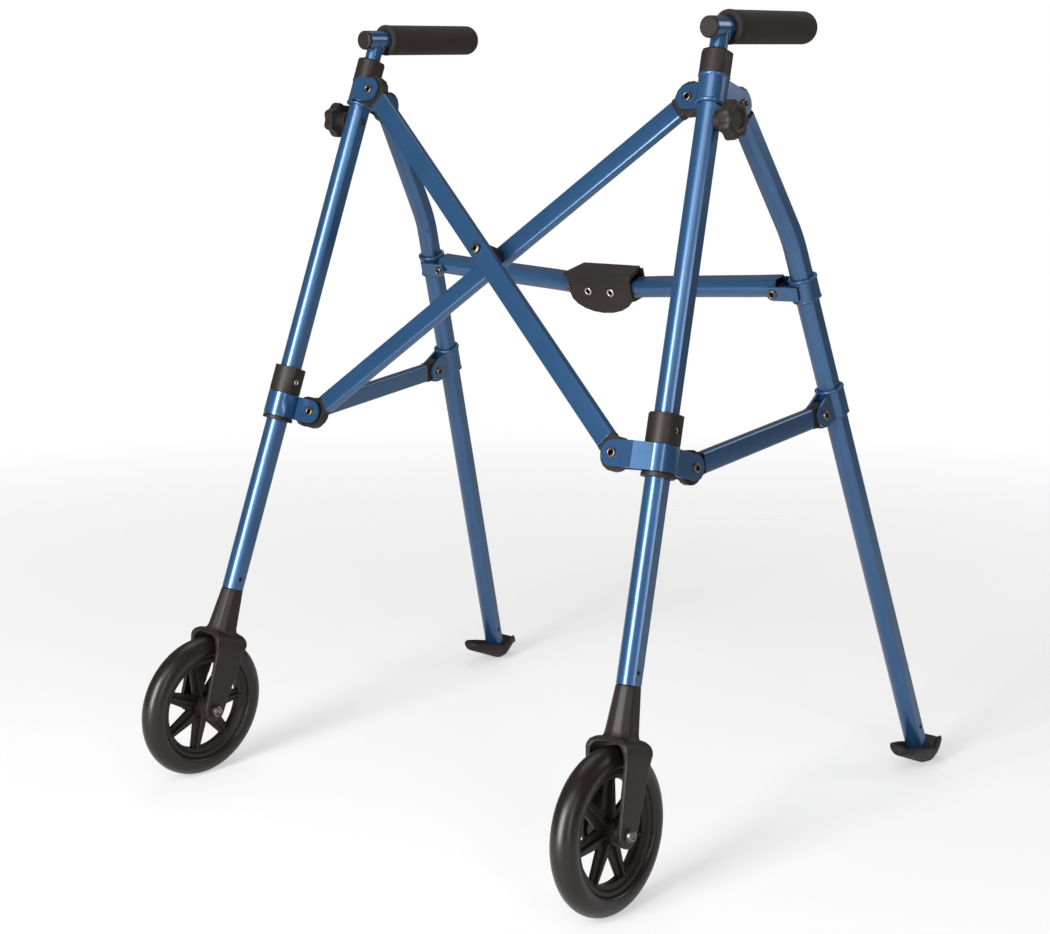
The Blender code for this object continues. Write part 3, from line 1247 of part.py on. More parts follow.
    def half_bar_plug(self, side, tag, parent):
        """Plastic tongue in the inner end of the half bar, on the latch's pin."""
        frame, length = self.half_bar_frame()
        sideways = (frame.inverted() @ self.ring_pin).y
        half = LEG_ROUND - GAP
        start = HALF_BAR_INNER - LATCH_PIN_X - GAP
        high = HALF_BAR_LIFT_INNER + HALF_BAR_FLAT - HALF_PLUG_STEP
        low = HALF_BAR_LIFT_INNER - HALF_BAR_FLAT + HALF_PLUG_STEP
        outline = [(start, high), (-HALF_PLUG_RADIUS / 2.0, high)]
        for i in range(6):
            angle = math.pi * (0.72 + 0.78 * i / 5)
            outline.append((HALF_PLUG_RADIUS * math.cos(angle), HALF_PLUG_RADIUS * math.sin(angle)))
        outline.append((start, low))
        tongue = plate_across_y(outline, -half, half)
        inside = tube_outline(HALF_BAR_FLAT - LEG_WALL - GAP, LEG_ROUND - LEG_WALL - GAP)
        loops = [[Vector((start - LEG_WALL, b, HALF_BAR_LIFT_INNER - a)) for a, b in inside]]
        for share in (0.0, HALF_PLUG_SHARE):
            x, y, lift = self.half_bar_place(share, length, sideways)
            loops.append([Vector((x, y + b, lift - a)) for a, b in inside])
        plug = loft(loops)
        reach = 2.0 * LEG_ROUND
        hole = rod(PIN_RADIUS + PIN_CLEARANCE, (0.0, -reach, 0.0), (0.0, reach, 0.0))
        self.add(tag + "_half_bar_plug", cut(join(tongue, plug), hole), frame, side, "black", parent)

    def latch(self):
        """Moulded latch: top plate that rests on the bars, and a D-shaped wall on each side."""
        frame = self.cross.copy()
        frame.translation = self.cross @ Vector((0.0, LATCH_PIN_BACK, -LATCH_PIN_DROP))
        _, length = self.half_bar_frame()
        slope = math.asin(LATCH_PIN_DROP / length)
        edge_lift = math.tan(slope) * (LATCH_HALF_WIDTH - LATCH_PIN_X)
        bar_top = HALF_BAR_LIFT_INNER + HALF_BAR_FLAT / math.cos(slope) + edge_lift
        under = bar_top + LATCH_HEAD_ROOM
        inside = LEG_ROUND + GAP
        outline = [(-LATCH_HALF_WIDTH, under + LATCH_TOP * 0.5)]
        steps = 10
        drop = LATCH_DEPTH_BELOW_PIN
        side_line = -LATCH_SIDE_DROP
        outline.append((-LATCH_HALF_WIDTH, side_line))
        for i in range(1, steps):
            angle = math.pi + math.pi * i / steps
            outline.append((LATCH_HALF_WIDTH * math.cos(angle), side_line + (drop + side_line) * math.sin(angle)))
        outline.append((LATCH_HALF_WIDTH, side_line))
        outline.append((LATCH_HALF_WIDTH, under + LATCH_TOP * 0.5))
        front_half = LATCH_HALF_WIDTH + LATCH_FRONT_LIP
        rear_half = LATCH_HALF_WIDTH - LATCH_REAR_STEP
        outer = inside + LATCH_WALL
        plate = [(-front_half, -outer - LATCH_LIP * 0.25), (-front_half * 0.72, -outer - LATCH_LIP),
                 (front_half * 0.72, -outer - LATCH_LIP), (front_half, -outer - LATCH_LIP * 0.25),
                 (rear_half, outer), (-rear_half, outer)]
        top = prism(plate, under, under + LATCH_TOP)
        parts = [top, plate_across_y(outline, -outer, -inside), plate_across_y(outline, inside, outer)]
        rib = prism([(-LATCH_RIB, -inside - LAP), (LATCH_RIB, -inside - LAP),
                     (LATCH_RIB, inside + LAP), (-LATCH_RIB, inside + LAP)],
                    HALF_BAR_LIFT_INNER + HALF_BAR_FLAT + GAP, under + LAP)
        parts.append(rib)
        for sign in (1.0, -1.0):
            x = sign * LATCH_PIN_X
            parts.append(rod(PIN_RADIUS, (x, -outer, 0.0), (x, outer, 0.0)))
            parts.append(rod(PIN_HEAD_RADIUS, (x, -outer - PIN_HEAD_HEIGHT, 0.0), (x, -outer + LAP, 0.0)))
            parts.append(rod(PIN_HEAD_RADIUS, (x, outer - LAP, 0.0), (x, outer + PIN_HEAD_HEIGHT, 0.0)))
        self.add("latch", join(*parts), frame, 1, "black")

    # Whole walker

    def build_side(self, side, tag):
        """Build one side of the walker, in the order of its joints."""
        half_frame, _ = self.half_bar_frame()
        half = self.joint(tag + "_half_bar_joint", half_frame, side)
        self.half_bar(side, tag, half)
        self.half_bar_plug(side, tag, half)
        rear = self.joint(tag + "_rear_leg_joint", self.ring_frame(), side)
        self.rear_leg(side, tag, rear)
        self.rear_leg_plug(side, tag, rear)
        self.cross_ring(side, tag, rear)
        self.brace_bracket(side, tag, rear)
        self.glide(side, tag, rear)
        front = self.joint(tag + "_front_leg_joint", shifted(self.side, y=SIDE_PIVOT_REACH), side)
        self.front_leg(side, tag, front)
        self.hub_bracket(side, tag, front)
        self.top_bushing(side, tag, front)
        self.stop_collar(side, tag, front)
        self.fork(side, tag, front)
        self.axle_bolt(side, tag, front)
        handle = self.joint(tag + "_handle_joint", self.leg, side)
        self.handle_post(side, tag, handle)
        self.handle_cap(side, tag, handle)
        self.grip(side, tag, handle)
        knob = self.joint(tag + "_knob_joint", self.knob_frame(), side)
        self.star_knob(side, tag, knob)
        slider = self.joint(tag + "_slider_joint", shifted(self.leg, z=-self.pivot_drop), side)
        self.slider_bracket(side, tag, slider)
        self.slider_liner(side, tag, slider)
        brace_frame, brace_length = self.brace_line()
        brace = self.joint(tag + "_brace_joint", shifted(brace_frame, x=brace_length), side)
        self.side_brace(side, tag, brace)
        wheel = self.joint(tag + "_wheel_joint", self.wheel_frame(), side)
        self.wheel(side, tag, wheel)
        self.tyre(side, tag, wheel)

    def build(self):
        """Build the whole walker."""
        self.latch()
        for side, tag in ((1, "right"), (-1, "left")):
            self.build_side(side, tag)
        rear_bar = self.joint("rear_bar_joint", shifted(self.leg, x=-BAR_PIVOT_REACH, y=self.lane), 1)
        self.crossed_bar(1, "rear", rear_bar)
        self.middle_nut(rear_bar)
        front_bar = self.joint("front_bar_joint", shifted(self.leg, x=-BAR_PIVOT_REACH, y=-self.lane), -1)
        self.crossed_bar(-1, "front", front_bar)
        self.middle_bolt(front_bar)


def main():
    """Clear the scene and build the walker."""
    clear_scene()
    Walker().build()
    bpy.context.view_layer.update()


main()
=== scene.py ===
"""Dressed two-wheeled folding walker, standing open on a pale studio floor.

Every length is in metres.  A piece is drawn in the frame of the part that carries it on
the right side, and the left side gets its mirror image.
"""
import json
import logging
import math
from collections.abc import Callable, Iterable, Sequence
from dataclasses import dataclass
from enum import Enum

import bpy
from mathutils import Euler, Matrix, Vector
from mathutils.bvhtree import BVHTree

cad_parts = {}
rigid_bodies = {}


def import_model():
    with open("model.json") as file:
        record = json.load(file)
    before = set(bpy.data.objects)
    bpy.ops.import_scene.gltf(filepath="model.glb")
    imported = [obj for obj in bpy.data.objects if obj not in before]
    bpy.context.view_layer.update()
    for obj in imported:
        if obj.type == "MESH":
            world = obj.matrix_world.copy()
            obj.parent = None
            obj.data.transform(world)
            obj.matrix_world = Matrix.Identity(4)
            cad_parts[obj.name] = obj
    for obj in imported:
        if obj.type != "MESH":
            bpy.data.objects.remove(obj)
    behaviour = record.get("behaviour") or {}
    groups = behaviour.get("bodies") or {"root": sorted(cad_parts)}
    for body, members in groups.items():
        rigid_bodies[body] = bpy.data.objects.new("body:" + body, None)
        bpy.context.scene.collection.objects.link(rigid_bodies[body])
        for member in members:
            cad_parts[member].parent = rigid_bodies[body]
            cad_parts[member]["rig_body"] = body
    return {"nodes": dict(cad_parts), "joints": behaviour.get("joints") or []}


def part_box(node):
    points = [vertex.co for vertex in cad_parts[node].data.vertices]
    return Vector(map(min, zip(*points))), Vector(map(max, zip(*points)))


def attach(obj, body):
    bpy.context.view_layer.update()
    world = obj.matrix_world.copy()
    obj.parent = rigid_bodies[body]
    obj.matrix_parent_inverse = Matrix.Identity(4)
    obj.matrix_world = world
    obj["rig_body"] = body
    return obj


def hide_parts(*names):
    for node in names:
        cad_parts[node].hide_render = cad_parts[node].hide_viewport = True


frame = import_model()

LOG = logging.getLogger("walker")
MIRROR = Matrix.Diagonal((-1.0, 1.0, 1.0, 1.0))
TAGS = {1: "right", -1: "left"}
Profile = Sequence[tuple[float, float]]
Piece = bpy.types.Object
Tree = bpy.types.NodeTree
Socket = bpy.types.NodeSocket


class Grain(Enum):
    """Small-scale relief of a finish."""

    PAINT = "paint"
    MOULDED = "moulded"
    FOAM = "foam"
    RUBBER = "rubber"
    TURNED = "turned"


# Tools for materials

def maths(tree: Tree, operation: str, *values: Socket | float) -> Socket:
    """Add a maths node.

    Args:
        tree: The nodes that it joins.
        operation: What it does.
        values: Its inputs in order, each a socket or a number.

    Returns:
        Socket with its result.
    """
    node = tree.nodes.new("ShaderNodeMath")
    node.operation = operation
    for index, value in enumerate(values):
        if isinstance(value, float):
            node.inputs[index].default_value = value
        else:
            tree.links.new(value, node.inputs[index])
    return node.outputs["Value"]


def blended(tree: Tree, share: Socket, colour: Socket, other: Sequence[float]) -> Socket:
    """Blend a colour with a fixed one.

    Args:
        tree: The nodes that the blend joins.
        share: Socket with the share of the fixed colour.
        colour: Socket with the first colour.
        other: The fixed colour.

    Returns:
        Socket with the blend.
    """
    mix = tree.nodes.new("ShaderNodeMix")
    mix.data_type = "RGBA"
    tree.links.new(share, mix.inputs[0])
    tree.links.new(colour, mix.inputs[6])
    mix.inputs[7].default_value = (*other, 1.0)
    return mix.outputs[2]


@dataclass(frozen=True)
class Finish:
    """One surface finish and the numbers that its node tree is made from."""

    name: str
    grain: Grain
    colour: tuple[float, float, float]
    worn: tuple[float, float, float]
    roughness: tuple[float, float]
    metallic: float = 0.0
    coat: float = 0.0
    sheen: float = 0.0
    specular: float = 0.5
    relief: float = 0.05
    grain_size: float = 0.0008
    cloud_size: float = 0.06
    wear: float = 0.12
    coat_roughness: float = 0.18
    tone_stops: tuple[float, float] = (0.30, 0.72)
    fine_share: float = 0.3
    cloud_share: float = 0.7
    speck_scale: float = 190.0
    speck_limits: tuple[float, float] = (0.66, 0.80)
    speck_strength: float = 0.65
    # Painted shade: the dark colour that the recesses of turned fasteners are painted with.
    recess_colour: tuple[float, float, float] = (0.008, 0.006, 0.005)

    def build(self) -> bpy.types.Material:
        """Make the material.

        Returns:
            The new material, with colour, roughness and relief from its nodes.
        """
        material = bpy.data.materials.new(self.name)
        material.use_nodes = True
        material.diffuse_color = (*self.colour, 1.0)
        tree = material.node_tree
        shader = tree.nodes["Principled BSDF"]
        shader.inputs["Metallic"].default_value = self.metallic
        shader.inputs["Coat Weight"].default_value = self.coat
        shader.inputs["Coat Roughness"].default_value = self.coat_roughness
        shader.inputs["Sheen Weight"].default_value = self.sheen
        shader.inputs["Specular IOR Level"].default_value = self.specular
        where = tree.nodes.new("ShaderNodeTexCoord").outputs["Object"]
        cloud = self.noise(tree, where, 1.0 / self.cloud_size, 4.0)
        fine = self.noise(tree, where, 0.25 / self.grain_size, 2.0)
        tone = tree.nodes.new("ShaderNodeValToRGB")
        stops = zip(tone.color_ramp.elements, self.tone_stops, (1.0 - self.wear, 1.0 + self.wear))
        for stop, position, strength in stops:
            stop.position = position
            stop.color = (*[c * strength for c in self.colour], 1.0)
        tree.links.new(cloud.outputs["Fac"], tone.inputs["Fac"])
        colour = blended(tree, self.rubbed(tree, where), tone.outputs["Color"], self.worn)
        # Turned finishes get painted shade in their recesses here.
        tree.links.new(self.deepened(tree, colour), shader.inputs["Base Color"])
        spread = tree.nodes.new("ShaderNodeMapRange")
        spread.inputs["To Min"].default_value = self.roughness[0]
        spread.inputs["To Max"].default_value = self.roughness[1]
        broad = maths(tree, "MULTIPLY", cloud.outputs["Fac"], self.cloud_share)
        uneven = maths(tree, "MULTIPLY_ADD", fine.outputs["Fac"], self.fine_share, broad)
        tree.links.new(uneven, spread.inputs["Value"])
        tree.links.new(spread.outputs["Result"], shader.inputs["Roughness"])
        bump = tree.nodes.new("ShaderNodeBump")
        bump.inputs["Strength"].default_value = self.relief
        bump.inputs["Distance"].default_value = self.grain_size
        tree.links.new(self.grain_height(tree, where, fine), bump.inputs["Height"])
        tree.links.new(bump.outputs["Normal"], shader.inputs["Normal"])
        return material

    @staticmethod
    def noise(tree: Tree, where: Socket, scale: float,
              detail: float) -> bpy.types.Node:
        """Noise texture on the piece's own coordinates.

        Args:
            tree: The material's nodes.
            where: Socket with the coordinates.
            scale: Features per metre.
            detail: Octaves of smaller noise.

        Returns:
            The noise node.
        """
        node = tree.nodes.new("ShaderNodeTexNoise")
        node.inputs["Scale"].default_value = scale
        node.inputs["Detail"].default_value = detail
        tree.links.new(where, node.inputs["Vector"])
        return node

    def rubbed(self, tree: Tree, where: Socket) -> Socket:
        """Mask of the small rubbed specks in the finish.

        Args:
            tree: The material's nodes.
            where: Socket with the coordinates.

        Returns:
            Socket that is near 1 on a speck and 0 elsewhere.
        """
        specks = self.noise(tree, where, self.speck_scale, 5.0)
        limit = tree.nodes.new("ShaderNodeMapRange")
        limit.inputs["From Min"].default_value, limit.inputs["From Max"].default_value = self.speck_limits
        limit.inputs["To Max"].default_value = self.speck_strength
        tree.links.new(specks.outputs["Fac"], limit.inputs["Value"])
        return limit.outputs["Result"]

    def deepened(self, tree: Tree, colour: Socket) -> Socket:
        """Paint shade into the recesses that a mesh marks, by darkening the colour there.

        Args:
            tree: The material's nodes.
            colour: Socket with the colour.

        Returns:
            Socket with the colour, painted dark as shade where the attribute "recess" is 1.
        """
        if self.grain is not Grain.TURNED:
            return colour
        # Painted shade: the colour is blended to the dark recess colour where the mesh carries the recess
        # mark.
        mark = tree.nodes.new("ShaderNodeAttribute")
        mark.attribute_name = "recess"
        return blended(tree, mark.outputs["Fac"], colour, self.recess_colour)

    def grain_height(self, tree: Tree, where: Socket,
                     fine: bpy.types.Node) -> Socket:
        """Height that the relief is made from.

        Args:
            tree: The material's nodes.
            where: Socket with the coordinates.
            fine: The finish's fine noise.

        Returns:
            Socket with the height.
        """
        if self.grain in (Grain.PAINT, Grain.RUBBER, Grain.TURNED):
            return fine.outputs["Fac"]
        cells = tree.nodes.new("ShaderNodeTexVoronoi")
        cells.inputs["Scale"].default_value = 0.6 / self.grain_size
        tree.links.new(where, cells.inputs["Vector"])
        return maths(tree, "ADD", cells.outputs["Distance"], fine.outputs["Fac"])


@dataclass(frozen=True)
class FinishSet:
    """Every finish of the walker."""

    blue: Finish = Finish("satin_blue_paint", Grain.PAINT, (0.019, 0.071, 0.166), (0.030, 0.092, 0.195),
                          (0.26, 0.34), metallic=0.55, coat=0.55, relief=0.003, grain_size=0.0005, wear=0.08)
    black: Finish = Finish("moulded_black_plastic", Grain.MOULDED, (0.0135, 0.0092, 0.0076),
                           (0.022, 0.0160, 0.0130), (0.40, 0.55), specular=0.26, relief=0.06,
                           grain_size=0.0005)
    foam: Finish = Finish("black_foam", Grain.FOAM, (0.0205, 0.0142, 0.0118), (0.032, 0.0235, 0.0200),
                          (0.82, 0.95), sheen=0.04, specular=0.20, relief=0.30, grain_size=0.0005, wear=0.15)
    tread: Finish = Finish("solid_black_tyre", Grain.RUBBER, (0.0085, 0.0060, 0.0050),
                           (0.018, 0.0135, 0.0115), (0.25, 0.38), specular=0.34, relief=0.03,
                           grain_size=0.0007)
    steel: Finish = Finish("plated_steel", Grain.TURNED, (0.50, 0.45, 0.41), (0.34, 0.29, 0.25),
                           (0.20, 0.34), metallic=1.0, relief=0.03, grain_size=0.0004)
    rivet: Finish = Finish("dark_rivet", Grain.TURNED, (0.165, 0.135, 0.115), (0.30, 0.25, 0.22),
                           (0.22, 0.36), metallic=0.95, relief=0.04, grain_size=0.0004)


class Dresser:
    """Makes the materials and puts a finished piece on its body."""

    def __init__(self, finishes: FinishSet) -> None:
        """Build every material.

        Args:
            finishes: The finishes of the walker.
        """
        self.materials = {name: getattr(finishes, name).build() for name in finishes.__dataclass_fields__}
        self.slots = {name: "steel" if name == "rivet" else name for name in self.materials}

    def dress(self, piece: Piece, finish: str, body: str, nodes: Sequence[str] = (),
              smooth: float = 34.0) -> Piece:
        """Give a piece its finish and its body.

        Args:
            piece: The piece, in place, with its object at the origin.
            finish: Name of the finish.
            body: CAD body that carries the piece.
            nodes: CAD nodes that the piece stands for.
            smooth: Largest angle in degrees that is shaded smooth.

        Returns:
            The same piece.
        """
        piece.data.materials.clear()
        piece.data.materials.append(self.materials[finish])
        activate(piece)
        bpy.ops.object.shade_smooth_by_angle(angle=math.radians(smooth))
        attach(piece, body)
        if nodes:
            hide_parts(*nodes)
        LOG.info("%s rides on %s", piece.name, body)
        return piece


# Tools for modelling

def activate(piece: Piece) -> None:
    """Select one object alone and make it active.

    Args:
        piece: The object.
    """
    if bpy.context.object is not None and bpy.context.object.mode != "OBJECT":
        bpy.ops.object.mode_set(mode="OBJECT")
    bpy.ops.object.select_all(action="DESELECT")
    piece.select_set(True)
    bpy.context.view_layer.objects.active = piece


def started(name: str) -> Piece:
    """Name the primitive that was just added and select it alone.

    Args:
        name: Name of the piece.

    Returns:
        The piece.
    """
    piece = bpy.context.object
    piece.name = name
    piece.data.name = name
    activate(piece)
    return piece


def finished_modifier(piece: Piece, kind: str, **settings: object) -> None:
    """Add a modifier and apply it.

    Args:
        piece: The object.
        kind: Type of the modifier.
        settings: Its settings by name.
    """
    activate(piece)
    modifier = piece.modifiers.new(kind.lower(), kind)
    for key, value in settings.items():
        setattr(modifier, key, value)
    bpy.ops.object.modifier_apply(modifier=modifier.name)


def rounded(piece: Piece, width: float, segments: int = 2, angle: float = 35.0) -> None:
    """Round the edges of a piece.

    Args:
        piece: The object.
        width: Width of the rounding.
        segments: Steps across it.
        angle: Edges flatter than this many degrees stay as they are.
    """
    finished_modifier(piece, "BEVEL", width=width, segments=segments, limit_method="ANGLE",
                      angle_limit=math.radians(angle), use_clamp_overlap=True)


def lathe(name: str, profile: Profile, steps: int = 48, ring: bool = False) -> Piece:
    """Turn a profile about Z: a circle is extruded and resized from point to point.

    Args:
        name: Name of the piece.
        profile: Points of (radius, height), none of them on the axis.
        steps: Points round the circle.
        ring: Close the last circle on the first, as for a tyre.

    Returns:
        The turned piece.
    """
    bpy.ops.object.select_all(action="DESELECT")
    radius, height = profile[0]
    bpy.ops.mesh.primitive_circle_add(vertices=steps, radius=radius, location=(0.0, 0.0, height))
    piece = started(name)
    bpy.ops.object.transform_apply(location=True, rotation=True, scale=True)
    bpy.ops.object.mode_set(mode="EDIT")
    bpy.ops.mesh.select_all(action="SELECT")
    if not ring:
        bpy.ops.mesh.edge_face_add()
    for (r0, z0), (r1, z1) in zip(profile, profile[1:]):
        bpy.ops.mesh.extrude_region_move(TRANSFORM_OT_translate={"value": (0.0, 0.0, z1 - z0)})
        scale = r1 / r0
        bpy.ops.transform.resize(value=(scale, scale, 1.0), center_override=(0.0, 0.0, z1))
    bpy.ops.object.mode_set(mode="OBJECT")
    if ring:
        bridge_ends(piece, steps)
    outwards(piece)
    return piece


def bridge_ends(piece: Piece, steps: int) -> None:
    """Bridge the first and the last circle of a turned piece.

    Args:
        piece: The piece.
        steps: Points in each circle.
    """
    mesh = piece.data
    total = len(mesh.vertices)
    for index, vertex in enumerate(mesh.vertices):
        vertex.select = index < steps or index >= total - steps
    for edge in mesh.edges:
        low, high = edge.vertices
        edge.select = (low < steps and high < steps) or (low >= total - steps and high >= total - steps)
    for face in mesh.polygons:
        face.select = False
    activate(piece)
    bpy.ops.object.mode_set(mode="EDIT")
    bpy.ops.mesh.select_mode(type="EDGE")
    bpy.ops.mesh.bridge_edge_loops()
    bpy.ops.mesh.select_mode(type="VERT")
    bpy.ops.object.mode_set(mode="OBJECT")


def outwards(piece: Piece) -> None:
    """Make every face of a closed piece point outwards.

    Args:
        piece: The piece.
    """
    activate(piece)
    bpy.ops.object.mode_set(mode="EDIT")
    bpy.ops.mesh.select_all(action="SELECT")
    bpy.ops.mesh.normals_make_consistent(inside=False)
    bpy.ops.object.mode_set(mode="OBJECT")


def placed(piece: Piece, matrix: Matrix) -> Piece:
    """Move a piece's mesh and keep its object at the origin.

    Args:
        piece: The piece.
        matrix: Where its mesh goes.

    Returns:
        The same piece.
    """
    piece.data.transform(matrix)
    if matrix.determinant() < 0.0:
        piece.data.flip_normals()
    piece.data.update()
    return piece


def copied(piece: Piece, name: str) -> Piece:
    """Copy of a piece with its own mesh.

    Args:
        piece: The piece to copy.
        name: Name of the copy.

    Returns:
        The copy.
    """
    twin = piece.copy()
    twin.data = piece.data.copy()
    twin.name = name
    bpy.context.scene.collection.objects.link(twin)
    return twin


def merged(pieces: Sequence[Piece], name: str) -> Piece:
    """Join pieces into one object.

    Args:
        pieces: The pieces; the first one stays.
        name: Name of the result.

    Returns:
        The joined piece.
    """
    activate(pieces[0])
    for piece in pieces[1:]:
        piece.select_set(True)
    bpy.ops.object.join()
    return started(name)


def removed(piece: Piece) -> None:
    """Remove a pattern piece once its copies are made.

    Args:
        piece: The object to remove.
    """
    mesh = piece.data
    bpy.data.objects.remove(piece)
    bpy.data.meshes.remove(mesh)


def moved_points(piece: Piece, rule: Callable[[Vector], Vector]) -> None:
    """Move each point of a piece by a rule.

    Args:
        piece: The piece.
        rule: Gives a point's new place from its old one.
    """
    for vertex in piece.data.vertices:
        vertex.co = rule(vertex.co.copy())
    piece.data.update()


def shade_marked(piece: Piece, radius: float) -> Piece:
    """Mark the points near a fastener's axis as its recess, which its material paints with shade.

    Args:
        piece: The fastener about Z.
        radius: Radius of the recess.

    Returns:
        The same piece.
    """
    # Points near the axis get the value 1, where painted shade goes.
    marks = piece.data.attributes.new("recess", "FLOAT", "POINT")
    for vertex, mark in zip(piece.data.vertices, marks.data):
        mark.value = 1.0 if math.hypot(vertex.co.x, vertex.co.y) < radius else 0.0
    return piece


def landed(node: str, origin: Vector, direction: Vector) -> Matrix:
    """Frame on the first surface of a solid that a ray meets.

    Args:
        node: CAD node with the surface.
        origin: Where the ray starts.
        direction: Where it goes.

    Returns:
        The frame, with z along the surface's normal.

    Raises:
        RuntimeError: The ray meets nothing.
    """
    mesh = frame["nodes"][node].data
    tree = BVHTree.FromPolygons([v.co for v in mesh.vertices], [tuple(p.vertices) for p in mesh.polygons])
    point, normal, _, _ = tree.ray_cast(origin, direction)
    if point is None:
        raise RuntimeError(f"no surface of {node} where a fastener belongs")
    return pointing(point, normal)


def pointing(origin: Vector, direction: Vector) -> Matrix:
    """Frame at a point whose z axis has a direction.

    Args:
        origin: The point.
        direction: Where its z axis points.

    Returns:
        The frame.
    """
    turn = direction.to_track_quat("Z", "Y").to_matrix().to_4x4()
    return Matrix.Translation(origin) @ turn


class Joints:
    """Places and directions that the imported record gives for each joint."""

    def __init__(self) -> None:
        """Read the joints by name."""
        self.by_name = {joint["name"]: joint for joint in frame["joints"]}

    def point(self, name: str) -> Vector:
        """Point on a joint's axis.

        Args:
            name: Name of the joint.

        Returns:
            The point.
        """
        return Vector(self.by_name[name]["pos_m"])

    def axis(self, name: str) -> Vector:
        """Direction of a joint's axis.

        Args:
            name: Name of the joint.

        Returns:
            The direction, of length 1.
        """
        return Vector(self.by_name[name]["axis"]).normalized()


JOINTS = Joints()


@dataclass(frozen=True)
class LegFrame:
    """Frame of the right front leg: x outwards, y backwards, z up the leg from the hub."""

    hub_to_axle: float = 0.6785
    toe: float = math.radians(4.4)
    rear_top_angle: float = math.radians(50.3)
    rear_low_angle: float = math.radians(36.9)
    rear_top_length: float = 0.151

    def matrix(self) -> Matrix:
        """Frame of the right leg at its hub.

        Returns:
            The frame as a matrix.
        """
        up = JOINTS.axis("right_handle_height")
        out = JOINTS.axis("right_wheel_spin")
        if out.x < 0.0:
            out = -out
        back = up.cross(out).normalized()
        hub = JOINTS.point("right_wheel_spin") + up * self.hub_to_axle
        turn = Matrix((out, back, up)).transposed().to_4x4()
        turn.translation = hub
        return turn

    def rear(self) -> Matrix:
        """Frame of the right rear leg's straight part: z up the tube from its bend, y back.

        Returns:
            The frame as a matrix.
        """
        toed = self.matrix().to_3x3() @ Matrix.Rotation(-self.toe, 3, "Z")
        out, back, up = toed.col
        top = back * math.sin(self.rear_top_angle) - up * math.cos(self.rear_top_angle)
        low = back * math.sin(self.rear_low_angle) - up * math.cos(self.rear_low_angle)
        turn = Matrix((out, (-low).cross(out), -low)).transposed().to_4x4()
        turn.translation = JOINTS.point("right_side_pivot") + top * self.rear_top_length
        return turn


LEG = LegFrame()


def mirrored(matrix: Matrix, side: int) -> Matrix:
    """Place on one side of the walker.

    Args:
        matrix: The place on the right side.
        side: 1 for the right side, -1 for the left.

    Returns:
        The place, or its mirror image for the left side.
    """
    return matrix if side > 0 else MIRROR @ matrix


# Sub-assemblies

